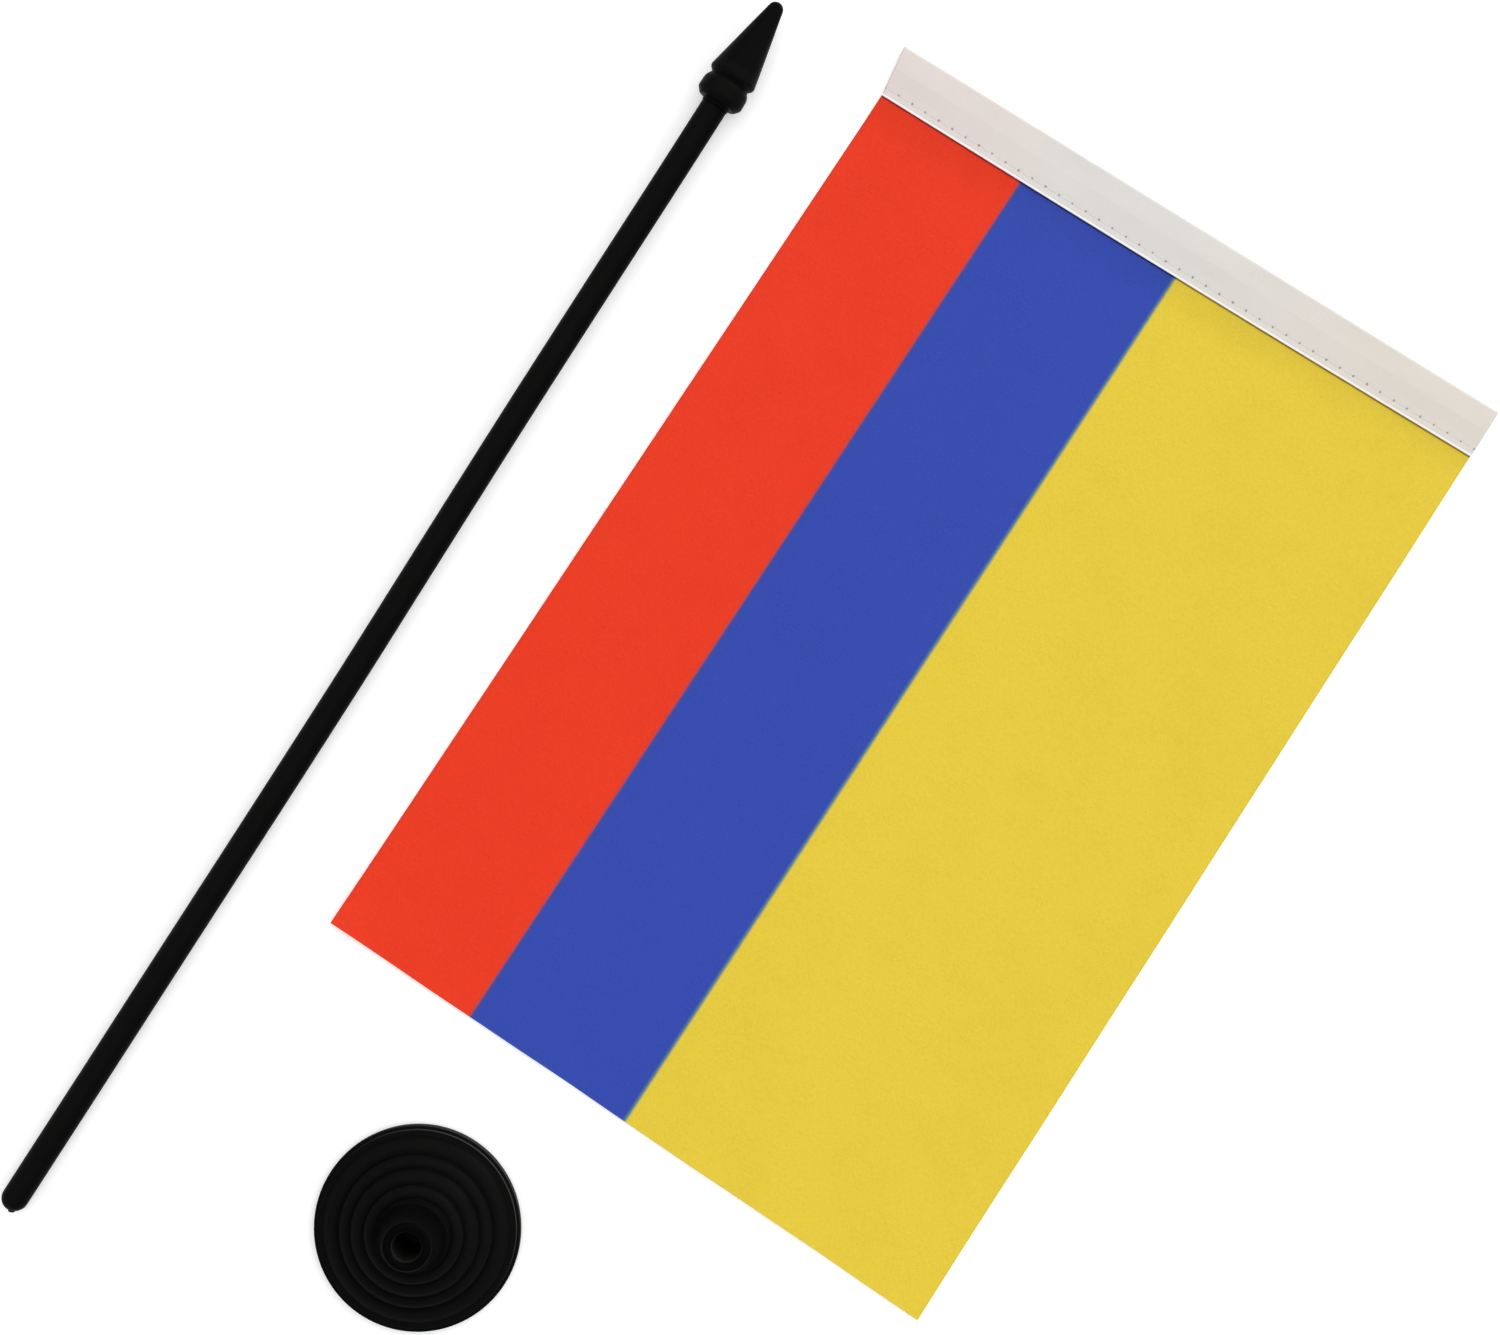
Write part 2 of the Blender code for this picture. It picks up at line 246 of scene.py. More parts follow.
def quads_of(rows: int, columns: int, wrap: bool) -> np.ndarray:
    """Corner indices of the quads of a grid of points.

    Args:
        rows: Rows of points.
        columns: Points in a row.
        wrap: True if each row closes on itself.

    Returns:
        One row of four indices for each quad.
    """
    index = np.arange(rows * columns).reshape(rows, columns)
    after = np.roll(index, -1, axis=1) if wrap else index[:, 1:]
    here = index if wrap else index[:, :-1]
    return np.stack([here[:-1], after[:-1], after[1:], here[1:]], axis=-1).reshape(-1, 4)


def capped_tube(rings: int, sides: int) -> tuple[np.ndarray, np.ndarray, np.ndarray]:
    """Faces of a tube whose points are its rings, then the middles of its first and last ring.

    Args:
        rings: Rings of points.
        sides: Points in a ring.

    Returns:
        The side's quads, and the triangles of the first and of the last cap.
    """
    around = np.arange(sides)
    beside = np.roll(around, -1)
    last, middle = (rings - 1) * sides, np.full(sides, rings * sides)
    first_cap = np.stack([beside, around, middle], axis=1)
    last_cap = np.stack([around + last, beside + last, middle + 1], axis=1)
    return quads_of(rings, sides, wrap=True), first_cap, last_cap


def mesh_of(
    name: str, points: np.ndarray, faces: np.ndarray, uv: np.ndarray | None = None
) -> bpy.types.Mesh:
    """A mesh of quads.

    Args:
        name: The mesh's name.
        points: Its points, one row each.
        faces: Four indices for each face.
        uv: Two coordinates for each point.

    Returns:
        The mesh, with a map called surface if uv is given.
    """
    mesh = bpy.data.meshes.new(name)
    mesh.vertices.add(len(points))
    mesh.vertices.foreach_set("co", points.astype(np.float32).ravel())
    mesh.loops.add(faces.size)
    mesh.loops.foreach_set("vertex_index", faces.astype(np.int32).ravel())
    mesh.polygons.add(len(faces))
    mesh.polygons.foreach_set("loop_start", np.arange(0, faces.size, faces.shape[1], dtype=np.int32))
    mesh.update(calc_edges=True)
    if uv is not None:
        layer = mesh.uv_layers.new(name="surface")
        layer.data.foreach_set("uv", uv[faces.ravel()].astype(np.float32).ravel())
    mesh.validate()
    return mesh


def highlight_falloff(segments: int, highlight_side: float) -> np.ndarray:
    """A painted highlight's falloff round a turned piece, from 1 on the side towards the light to 0
    opposite.

    It is (0.5 + 0.5 * cos(angle from the highlight's side)) to the power 1.5.

    Args:
        segments: Points round the axis.
        highlight_side: The angle of the side with the painted highlight.

    Returns:
        One number for each segment.
    """
    turn = np.arange(segments) * (math.tau / segments) - highlight_side
    return (0.5 + 0.5 * np.cos(turn)) ** 1.5


def turned_mesh(
    name: str,
    profile: np.ndarray,
    segments: int,
    painted_light: np.ndarray,
    place: Matrix | None = None,
    warp: Callable[[np.ndarray], np.ndarray] | None = None,
) -> bpy.types.Mesh:
    """A solid of revolution whose profile starts and ends on the axis.

    A point of the surface is (r cos a, r sin a, z) for the profile's (r, z) and the angle a.

    Args:
        name: The mesh's name.
        profile: (radius, height) rows, running down the outer side.
        segments: Points round the axis.
        painted_light: The painted light and shade at each row of the profile, or at each row and segment:
            0 is
        painted shade in the hollows, 1 painted light on the ridges, 2 a painted highlight on an edge.
        place: Where the turned solid goes.
        warp: Changes the points before they are placed.

    Returns:
        The mesh, its two poles closed with triangle fans.
    """
    angle = np.linspace(0.0, 2.0 * math.pi, segments, endpoint=False)[None]
    radius, height = profile[1:-1, :1], profile[1:-1, 1:]
    rings = np.stack([radius * np.cos(angle), radius * np.sin(angle), height + 0.0 * angle], axis=-1)
    points = np.concatenate(
        [rings.reshape(-1, 3), [[0.0, 0.0, profile[0, 1]]], [[0.0, 0.0, profile[-1, 1]]]]
    )
    if warp is not None:
        points = warp(points)
    if place is not None:
        matrix = np.array(place)
        points = points @ matrix[:3, :3].T + matrix[:3, 3]
    faces = [face[::-1] for part in capped_tube(len(profile) - 2, segments) for face in part.tolist()]
    mesh = bpy.data.meshes.new(name)
    mesh.from_pydata(points.tolist(), [], faces)
    # painted light and shade values, stored on the mesh for the plastic's finish
    painted_light_map = np.broadcast_to(painted_light.reshape(len(profile), -1), (len(profile), segments))
    painted_light_map = np.concatenate([painted_light_map[1:-1].ravel(), painted_light_map[[0, -1], 0]])
    mesh.attributes.new("painted_light", "FLOAT", "POINT").data.foreach_set("value", painted_light_map.astype(np.float32))
    mesh.validate()
    return mesh


# ---------------------------------------------------------------------------------------------
# Finishes
# ---------------------------------------------------------------------------------------------


def set_stops(ramp: bpy.types.ColorRamp, stops: Sequence[Stop]) -> None:
    """Give a fresh colour ramp these stops, in order of place, and no others.

    Args:
        ramp: A ramp with its first two stops.
        stops: Places and colours.
    """
    elements = ramp.elements
    elements.remove(elements[1])
    elements[0].position, elements[0].color = stops[0][0], (*stops[0][1], 1.0)
    for position, colour in stops[1:]:
        elements.new(position).color = (*colour, 1.0)


class NodeSheet:
    """A material's node tree, with short ways to add and join its nodes."""

    def __init__(self, name: str) -> None:
        """Start a material that holds one Principled BSDF."""
        self.material = bpy.data.materials.new(name)
        self.material.use_nodes = True
        self.tree = self.material.node_tree
        self.shader = self.tree.nodes["Principled BSDF"]

    def add(self, kind: str, **settings: object) -> bpy.types.Node:
        """Add a node and set its properties.

        Args:
            kind: The node's type.
            settings: Its properties.

        Returns:
            The node.
        """
        node = self.tree.nodes.new(kind)
        for key, value in settings.items():
            setattr(node, key, value)
        return node

    def feed(self, socket: bpy.types.NodeSocket, value: object) -> None:
        """Join an output to the socket, or set the socket to a plain value.

        Args:
            socket: The input to feed.
            value: An output or a plain value.
        """
        if isinstance(value, bpy.types.NodeSocket):
            self.tree.links.new(value, socket)
        else:
            socket.default_value = value

    def math(self, operation: str, *values: object, clamp: bool = False) -> bpy.types.NodeSocket:
        """The result of a Math node on one to three values.

        Args:
            operation: What the node does.
            values: Its inputs.
            clamp: True to hold the result in 0 to 1.

        Returns:
            The result.
        """
        node = self.add("ShaderNodeMath", operation=operation, use_clamp=clamp)
        for socket, value in zip(node.inputs, values):
            self.feed(socket, value)
        return node.outputs[0]

    def mix(
        self, share: object, first: object, second: object, blend: str = "MIX"
    ) -> bpy.types.NodeSocket:
        """The colour that a share of the second colour makes over the first.

        Args:
            share: From 0 to 1.
            first: The colour below.
            second: The colour above.
            blend: How the two are put together.

        Returns:
            The colour.
        """
        node = self.add("ShaderNodeMix", data_type="RGBA", blend_type=blend)
        for place, value in ((0, share), (6, first), (7, second)):
            self.feed(node.inputs[place], (*value, 1.0) if isinstance(value, tuple) else value)
        return node.outputs[2]

    def spread(
        self, value: object, low: float, high: float, to_low: float = 0.0, to_high: float = 1.0
    ) -> bpy.types.NodeSocket:
        """The value carried from one range to another, held at both ends, eased between them.

        Args:
            value: What is carried.
            low: Start of its range.
            high: End of its range.
            to_low: The result at the start.
            to_high: The result at the end.

        Returns:
            The result.
        """
        node = self.add("ShaderNodeMapRange", interpolation_type="SMOOTHSTEP")
        for socket, number in zip(node.inputs, (value, low, high, to_low, to_high)):
            self.feed(socket, number)
        return node.outputs[0]

    def ramp(self, value: object, stops: Sequence[Stop]) -> bpy.types.NodeSocket:
        """The colour that a ramp with these stops has at the value.

        Args:
            value: Where the ramp is read.
            stops: Places and colours.

        Returns:
            The colour.
        """
        node = self.add("ShaderNodeValToRGB")
        self.feed(node.inputs[0], value)
        set_stops(node.color_ramp, stops)
        return node.outputs[0]

    def place(self) -> bpy.types.NodeSocket:
        """Object coordinates, in metres."""
        return self.add("ShaderNodeTexCoord").outputs["Object"]

    def split(self, vector: bpy.types.NodeSocket) -> tuple[bpy.types.NodeSocket, bpy.types.NodeSocket]:
        """The first two parts of a vector.

        Args:
            vector: Any vector.

        Returns:
            Its x and y.
        """
        node = self.add("ShaderNodeSeparateXYZ")
        self.feed(node.inputs[0], vector)
        return node.outputs[0], node.outputs[1]

    def surface(self) -> tuple[bpy.types.NodeSocket, bpy.types.NodeSocket]:
        """The two coordinates of the piece's own surface map."""
        return self.split(self.add("ShaderNodeUVMap", uv_map="surface").outputs[0])

    def noise(
        self,
        place: object,
        size: float,
        detail: float = 2.0,
        roughness: float = 0.5,
        distortion: float = 0.0,
    ) -> bpy.types.NodeSocket:
        """Noise with features of that size, from 0 to 1.

        Args:
            place: Where it is read, in metres.
            size: The size of its features, in metres.
            detail: Finer layers added.
            roughness: How strong they are.
            distortion: How far the pattern is bent.

        Returns:
            The noise.
        """
        node = self.add("ShaderNodeTexNoise")
        self.feed(node.inputs["Vector"], place)
        node.inputs["Scale"].default_value = 1.0 / size
        node.inputs["Detail"].default_value = detail
        node.inputs["Roughness"].default_value = roughness
        node.inputs["Distortion"].default_value = distortion
        return node.outputs[0]

    def relief(self, height: object, depth: float) -> None:
        """Add a bump of that depth to the bumps that the shader already has.

        Args:
            height: The relief, from 0 to 1.
            depth: Its depth, in metres.
        """
        node = self.add("ShaderNodeBump")
        node.inputs["Distance"].default_value = depth
        self.feed(node.inputs["Height"], height)
        links = self.shader.inputs["Normal"].links
        if links:
            self.feed(node.inputs["Normal"], links[0].from_socket)
        self.feed(self.shader.inputs["Normal"], node.outputs[0])

    def constants(self, **values: float) -> None:
        """Set constant shader inputs; an underscore in a name stands for a space."""
        for name, value in values.items():
            self.shader.inputs[name.replace("_", " ")].default_value = value


@dataclass(frozen=True)
class BlackPlastic:
    """Black moulded plastic with a satin skin and a faint orange peel, with painted shade in its hollows,
    painted light on its ridges and painted highlights on its edges.
    """

    name: str = "black_plastic_skin"
    # painted shade, painted light and painted highlight colours
    colour_painted_shade: Colour = (0.0014, 0.0014, 0.0014)
    colour_painted_light: Colour = (0.0047, 0.0047, 0.0045)
    colour_painted_highlight: Colour = (0.085, 0.084, 0.077)
    cloudiness: float = 0.25
    cloud_size: float = 6.0 * MM
    scuff_size: float = 3.0 * MM
    gloss: tuple[float, float] = (0.30, 0.40)
    peel_size: float = 1.1 * MM
    peel_depth: float = 0.02 * MM
    grain_size: float = 0.16 * MM
    grain_depth: float = 0.004 * MM

    def material(self) -> bpy.types.Material:
        """Build the finish."""
        sheet = NodeSheet(self.name)
        place = sheet.place()
        # painted light and shade carried on the mesh: painted shade in hollows, painted light on ridges,
        # a painted highlight on edges above 1
        painted_light_fac = sheet.add("ShaderNodeAttribute", attribute_name="painted_light").outputs["Fac"]
        cloud = sheet.math("SUBTRACT", sheet.noise(place, self.cloud_size, detail=4.0), 0.5)
        ridge = sheet.math("ADD", painted_light_fac, sheet.math("MULTIPLY", cloud, self.cloudiness), clamp=True)
        colour = sheet.mix(ridge, self.colour_painted_shade, self.colour_painted_light)
        # a painted highlight where the painted light passes 1
        edge = sheet.math("SUBTRACT", painted_light_fac, 1.0, clamp=True)
        sheet.feed(sheet.shader.inputs["Base Color"], sheet.mix(edge, colour, self.colour_painted_highlight))
        scuff = sheet.noise(place, self.scuff_size, detail=5.0, roughness=0.65)
        sheet.feed(sheet.shader.inputs["Roughness"], sheet.spread(scuff, 0.3, 0.7, *self.gloss))
        sheet.constants(Specular_IOR_Level=0.014, IOR=1.45)
        sheet.relief(sheet.noise(place, self.peel_size, detail=1.0), self.peel_depth)
        sheet.relief(sheet.noise(place, self.grain_size, detail=2.0), self.grain_depth)
        return sheet.material


@dataclass(frozen=True)
class ZincSteel:
    """Zinc-plated pressed steel with a fine brushed grain."""

    name: str = "zinc_plated_skin"
    colour: Colour = (0.50, 0.51, 0.54)
    colour_dull: Colour = (0.34, 0.35, 0.37)
    spangle_size: float = 2.5 * MM
    gloss: tuple[float, float] = (0.28, 0.50)
    grain_size: float = 0.2 * MM
    grain_depth: float = 0.01 * MM

    def material(self) -> bpy.types.Material:
        """Build the finish."""
        sheet = NodeSheet(self.name)
        place = sheet.place()
        spangle = sheet.noise(place, self.spangle_size, detail=3.0)
        sheet.feed(sheet.shader.inputs["Base Color"], sheet.mix(spangle, self.colour, self.colour_dull))
        sheet.feed(sheet.shader.inputs["Roughness"], sheet.spread(spangle, 0.2, 0.8, *self.gloss))
        sheet.constants(Metallic=1.0)
        sheet.relief(sheet.noise(place, self.grain_size, detail=3.0), self.grain_depth)
        return sheet.material


@dataclass(frozen=True)
class ClothSkin:
    """What both cloths share: a fine plain weave under a crinkled, lightly calendered skin."""

    thread_pitch: float = 0.17 * MM
    weave_depth: float = 0.010 * MM
    crinkle_size: float = 0.55 * MM
    crinkle_depth: float = 0.13 * MM
    patch_size: float = 9.0 * MM
    roughness: float = 0.55
    gloss: float = 0.22
    sheen: float = 0.02

    def dress(self, sheet: NodeSheet) -> None:
        """Give a cloth's material its roughness, sheen, weave and crinkle."""
        place = sheet.place()
        turns = math.tau / self.thread_pitch
        warp, weft = (
            sheet.math("SINE", sheet.math("MULTIPLY", part, turns)) for part in sheet.split(place)
        )
        sheet.relief(sheet.math("MULTIPLY", warp, weft), self.weave_depth)
        patches = sheet.spread(sheet.noise(place, self.patch_size, detail=2.0), 0.36, 0.66, 0.25, 1.0)
        crinkle = sheet.noise(place, self.crinkle_size, detail=2.5, roughness=0.6, distortion=0.9)
        sheet.relief(sheet.math("MULTIPLY", crinkle, patches), self.crinkle_depth)
        sheet.constants(
            Roughness=self.roughness,
            Sheen_Weight=self.sheen,
            Sheen_Roughness=0.45,
            Specular_IOR_Level=self.gloss,
        )


@dataclass(frozen=True)
class PrintedCloth:
    """White polyester cloth printed in three stripes that run along the flag's length."""

    name: str = "printed_stripes"
    skin: ClothSkin = ClothSkin()
    first_change: float = 0.2368
    second_change: float = 0.5010
    bleed: float = 0.0026
    red_to_blue: Colour = (0.085, 0.068, 0.040)
    blue_to_yellow: Colour = (0.12, 0.30, 0.15)
    wander: float = 0.0008
    wander_size: float = 1.2 * MM
    mottle: float = 0.02
    mottle_size: float = 22.0 * MM
    grain: float = 0.05
    grain_size: float = 0.6 * MM
    seam_shade: float = 0.045
    seam_shade_reach: float = 7.0 * MM
    # a painted shadow line just past the sleeve's seam edge
    seam_shadow_reach: tuple[float, float] = (0.25 * MM, 0.55 * MM)
    seam_shadow_depth: float = 0.45

    def stops(self) -> list[Stop]:
        """The inks across the flag, each change darkened where the two inks overlap."""
        stops: list[Stop] = [(0.0, Stripe.RED.value)]
        for middle, first, overlap, second in (
            (self.first_change, Stripe.RED, self.red_to_blue, Stripe.BLUE),
            (self.second_change, Stripe.BLUE, self.blue_to_yellow, Stripe.YELLOW),
        ):
            stops.append((middle - self.bleed, first.value))
            stops.append((middle, overlap))
            stops.append((middle + self.bleed, second.value))
        return [*stops, (1.0, Stripe.YELLOW.value)]

    def material(self) -> bpy.types.Material:
        """Build the finish."""
        sheet = NodeSheet(self.name)
        across, from_seam = sheet.surface()
        place = sheet.place()
        drift = sheet.math("SUBTRACT", sheet.noise(place, self.wander_size), 0.5)
        across = sheet.math("ADD", across, sheet.math("MULTIPLY", drift, self.wander))
        ink = sheet.ramp(across, self.stops())
        mottle = sheet.noise(place, self.mottle_size, detail=3.0)
        ink = sheet.mix(sheet.spread(mottle, 0.35, 0.7, 0.0, self.mottle), ink, PLAIN_BLACK)
        grain = sheet.noise(place, self.grain_size, detail=2.0, distortion=0.8)
        ink = sheet.mix(sheet.spread(grain, 0.35, 0.7, 0.0, self.grain), ink, PLAIN_BLACK)
        # painted shade that fades over the first millimetres from the seam
        drawn = sheet.spread(from_seam, 0.0, self.seam_shade_reach, self.seam_shade, 0.0)
        ink = sheet.mix(drawn, ink, PLAIN_BLACK)
        # a painted shadow line just past the sleeve's seam edge, the ink deepened towards black
        seam_shadow = sheet.spread(from_seam, *self.seam_shadow_reach, 1.0, 0.0)
        shadowed_ink = sheet.mix(self.seam_shadow_depth, sheet.mix(1.0, ink, ink, blend="MULTIPLY"), PLAIN_BLACK)
        ink = sheet.mix(seam_shadow, ink, shadowed_ink)
        sheet.feed(sheet.shader.inputs["Base Color"], ink)
        self.skin.dress(sheet)
        return sheet.material


@dataclass(frozen=True)
class SleeveCloth:
    """Plain white polyester cloth, with a painted highlight along its folded seam edge and painted shade
    in the needle holes of one row of stitches.

    The surface map is in metres: along the seam, and along the strip from its seam edge on top.
    """

    name: str = "white_sleeve_cloth"
    tints: tuple[tuple[float, Colour], ...] = (
        (0.16, (0.730, 0.662, 0.628)),
        (0.34, (0.702, 0.682, 0.648)),
        (0.50, (0.702, 0.682, 0.642)),
        (0.80, (0.722, 0.668, 0.608)),
    )
    # painted highlight along the folded seam edge
    colour_painted_highlight: Colour = (0.98, 0.97, 0.96)
    highlight_width: float = 0.45 * MM
    length: float = 138.0 * MM
    hole_radius: float = 0.36 * MM
    # painted shade in each needle hole
    hole_shade_colour: Colour = (0.25, 0.21, 0.21)
    hole_share: float = 0.85
    ragged: float = 0.5 * MM
    stitch_length: float = 3.13 * MM
    skin: ClothSkin = ClothSkin(crinkle_depth=0.03 * MM, gloss=0.2, roughness=0.8)

    def material(self) -> bpy.types.Material:
        """Build the finish."""
        sheet = NodeSheet(self.name)
        along, down = sheet.surface()
        place = sheet.place()
        cloth = sheet.ramp(sheet.math("DIVIDE", along, self.length), self.tints)
        # a painted highlight along the folded seam edge
        from_edge = sheet.math("ABSOLUTE", down)
        edge = sheet.spread(from_edge, 0.65 * self.highlight_width, self.highlight_width, 1.0, 0.0)
        cloth = sheet.mix(edge, cloth, self.colour_painted_highlight)
        turns = sheet.math("DIVIDE", along, self.stitch_length)
        offset = sheet.math("SUBTRACT", turns, sheet.math("ROUND", turns))
        off_along = sheet.math("MULTIPLY", offset, self.stitch_length)
        off_down = sheet.math("SUBTRACT", down, STITCH_INSET)
        tear = sheet.math("SUBTRACT", sheet.noise(place, self.ragged), 0.5)
        squares = (sheet.math("POWER", off, 2.0) for off in (off_along, off_down))
        distance = sheet.math("SQRT", sheet.math("ADD", *squares))
        distance = sheet.math("ADD", distance, sheet.math("MULTIPLY", tear, self.ragged))
        # painted shade in each needle hole, made ragged by noise
        hole = sheet.spread(distance, 0.35 * self.hole_radius, self.hole_radius, 1.0, 0.0)
        cloth = sheet.mix(sheet.math("MULTIPLY", hole, self.hole_share), cloth, self.hole_shade_colour)
        sheet.feed(sheet.shader.inputs["Base Color"], cloth)
        self.skin.dress(sheet)
        return sheet.material


@dataclass(frozen=True)
class SewingThread:
    """Spun white polyester thread with its ply showing as a slanted ripple."""

    name: str = "white_sewing_thread"
    colour: Colour = (0.76, 0.71, 0.68)
    colour_fuzz: Colour = (0.45, 0.42, 0.4)
    fuzz_size: float = 0.12 * MM
    ply_pitch: float = 0.25 * MM
    ply_slant: float = 0.8
    ply_depth: float = 0.02 * MM

    def material(self) -> bpy.types.Material:
        """Build the finish."""
        sheet = NodeSheet(self.name)
        place = sheet.place()
        across, along = sheet.split(place)
        slant = sheet.math("ADD", across, sheet.math("MULTIPLY", along, self.ply_slant))
        ply = sheet.math("SINE", sheet.math("MULTIPLY", slant, math.tau / self.ply_pitch))
        fuzz = sheet.spread(sheet.noise(place, self.fuzz_size, detail=2.0), 0.3, 0.7, 0.0, 0.25)
        sheet.feed(sheet.shader.inputs["Base Color"], sheet.mix(fuzz, self.colour, self.colour_fuzz))
        sheet.relief(ply, self.ply_depth)
        sheet.constants(Roughness=0.75, Sheen_Weight=0.1, Specular_IOR_Level=0.25)
        return sheet.material


# ---------------------------------------------------------------------------------------------
# Sub-assemblies
# ---------------------------------------------------------------------------------------------


def add_piece(
    mesh: bpy.types.Mesh, material: bpy.types.Material, body: Body, node: str
) -> bpy.types.Object:
    """Make a piece of a mesh and tell the frame about it.

    Args:
        mesh: The piece's shape; the piece takes its name.
        material: Its finish.
        body: What it rides on.
        node: The frame's node that it stands for.

    Returns:
        The piece.
    """
    piece = new_object(mesh.name, mesh, material)
    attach(piece, body.value)
    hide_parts(node)
    LOG.info("%s rides on %s: %d faces", piece.name, body.value, len(mesh.polygons))
    return piece


@dataclass
class StandBase:
    """The round base: a moulded shell with beads and a boss, a cover disc and a steel ballast ring."""

    nodes: dict[str, bpy.types.Object]
    bore_radius: float = 2.9 * MM
    boss_wall: float = 1.8 * MM
    boss_flare: float = 2.9 * MM
    boss_lip: float = 0.75 * MM
    mouth_chamfer: float = 0.5 * MM
    root_ledge: float = 0.22 * MM
    root_ledges: int = 3
    ledge_height: float = 0.65 * MM
    ledge_fillet: float = 0.08 * MM
    rim_height: float = 2.9 * MM
    rim_fillet: float = 0.3 * MM
    rim_step: float = 0.75 * MM
    rim_drop: float = 0.5 * MM
    rim_land: float = 1.85 * MM
    cone_height: float = 9.7 * MM
    bead_shares: tuple[float, ...] = (1.0, 0.79, 0.53, 0.31, 0.0)
    bead_swell: float = 0.5 * MM
    wall: float = 1.5 * MM
    tube_wall: float = 1.5 * MM
    tube_slope: float = 3.2
    floor_thickness: float = 1.2 * MM
    skirt_wall: float = 2.0 * MM
    skirt_height: float = 1.1 * MM
    seat_gap: float = 0.3 * MM
    register_inset: float = 2.3 * MM
    register_wall: float = 1.2 * MM
    groove_radius: float = 15.5 * MM
    groove_depth: float = 0.25 * MM
    groove_half: tuple[float, float] = (0.4 * MM, 0.6 * MM)
    gate_radii: tuple[float, float] = (1.4 * MM, 1.6 * MM)
    gate_depth: float = 0.12 * MM
    # levels of painted light and shade: painted shade on the boss, painted light in the bore and on the
    # land, painted highlights on the rim and ledges, brighter towards the highlight side
    boss_painted_shade: float = 0.05
    bore_painted_light: float = 1.2
    rim_painted_highlight: float = 1.3
    ledge_painted_highlight: float = 0.95
    land_painted_light: float = 0.7
    cover_painted_light: float = 0.6
    painted_light_margins: tuple[float, float] = (0.1 * MM, 1.0 * MM)
    highlight_reach: float = 0.2 * MM
    highlight_side: float = math.radians(78.0)
    segments: int = 192

    def __post_init__(self) -> None:
        """Take the outer sizes from the frame."""
        low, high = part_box("base_shell")
        plate_low, plate_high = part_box("base_plate")
        self.radius = high.x
        self.top = high.z
        self.bottom = low.z
        self.plate_radius = plate_high.x
        self.plate_low = plate_low.z
        self.plate_high = plate_high.z
        self.boss_top = self.bore_radius + self.boss_wall
        self.boss_root = self.boss_top + self.boss_flare
        self.cone_radius = self.radius - self.rim_land

    def groove(self, share: float) -> np.ndarray:
        """A groove's (radius, height), from the rim's land at 0 to the boss at 1, on a straight cone."""
        return np.array(
            [
                self.cone_radius + (self.boss_root - self.cone_radius) * share,
                self.rim_height + (self.cone_height - self.rim_height) * share,
            ]
        )

    def bead(self, inner: float, outer: float, steps: int = 14) -> np.ndarray:
        """The arch of one bead between two grooves.

        A point lies on the line between the grooves, lifted off it by the swell times
        sin(pi * share) to the power 0.8, which gives a full bead between narrow grooves.

        Args:
            inner: The upper groove's share.
            outer: The lower groove's share.
            steps: Pieces of the arch.

        Returns:
            The arch's points without its first one.
        """
        start, end = self.groove(inner), self.groove(outer)
        along = end - start
        normal = np.array([-along[1], along[0]]) / np.linalg.norm(along)
        share = (np.arange(1, steps + 1) / steps)[:, None]
        return start + along * share + normal * self.bead_swell * np.sin(math.pi * share).clip(0.0) ** 0.8

    def painted_light_map(self, profile: np.ndarray) -> np.ndarray:
        """The painted light and shade at each point of the shell.

        On the beads it is the height above the straight line through the grooves, as a share of the
        swell, so the crests get painted light and the grooves painted shade; the boss gets painted shade,
        the bore and the land fixed levels of painted light. At the rim's two edges and the boss's ledges
        a painted highlight rises by a Gaussian of the distance to the edge, times the one-sided falloff,
        so it is brighter on the side towards the light.

        Args:
            profile: The shell's (radius, height) rows.

        Returns:
            One row of numbers for each row of the profile, one number for each segment.
        """
        start, end = self.groove(0.0), self.groove(1.0)
        along = (end - start) / np.linalg.norm(end - start)
        lifted = (profile - start) @ np.array([along[1], -along[0]])
        radii, heights = profile.T
        beads = (radii > self.boss_root) & (radii < self.cone_radius)
        seen = heights > self.bottom + self.painted_light_margins[1]
        land = (radii >= self.cone_radius) & seen
        bore = (radii < self.bore_radius + self.painted_light_margins[0]) & seen
        swell = np.clip(lifted / self.bead_swell, 0.0, 1.0)
        painted_light = np.select([bore, land, beads], [self.bore_painted_light, self.land_painted_light, swell], self.boss_painted_shade)
        edges = [
            (self.radius - self.rim_step, self.rim_height, self.rim_painted_highlight),
            (self.radius, self.rim_height - self.rim_drop, self.rim_painted_highlight),
            *((*self.ledge_edge(ledge), self.ledge_painted_highlight) for ledge in range(1, self.root_ledges + 1)),
        ]
        edge_highlight = np.zeros(len(profile))
        for radius, height, amount in edges:
            away = np.hypot(radii - radius, heights - height)
            edge_highlight += amount * np.exp(-((away / self.highlight_reach) ** 2))
        return painted_light[:, None] + edge_highlight[:, None] * highlight_falloff(self.segments, self.highlight_side)

    def ledge_edge(self, ledge: int) -> tuple[float, float]:
        """Radius and height of a ledge on the boss's sloping wall, counted from 1 at the root.

        Args:
            ledge: The ledge's number.

        Returns:
            Its radius and height.
        """
        rise = ledge * self.ledge_height
        wall = self.boss_root - self.boss_flare * rise / (self.top - self.cone_height)
        return wall, self.cone_height + rise

    def boss_wall_corners(self) -> list[Corner]:
        """The boss's sloping wall, with small ledges where it meets the beads."""
        corners: list[Corner] = [(self.boss_top, self.top, self.boss_lip)]
        for ledge in range(self.root_ledges, 0, -1):
            wall, height = self.ledge_edge(ledge)
            corners.append((wall - self.root_ledge, height, self.ledge_fillet))
            corners.append((wall, height - self.ledge_fillet / 2, self.ledge_fillet))
        corners.append((self.boss_root, self.cone_height, 0.0))
        return corners

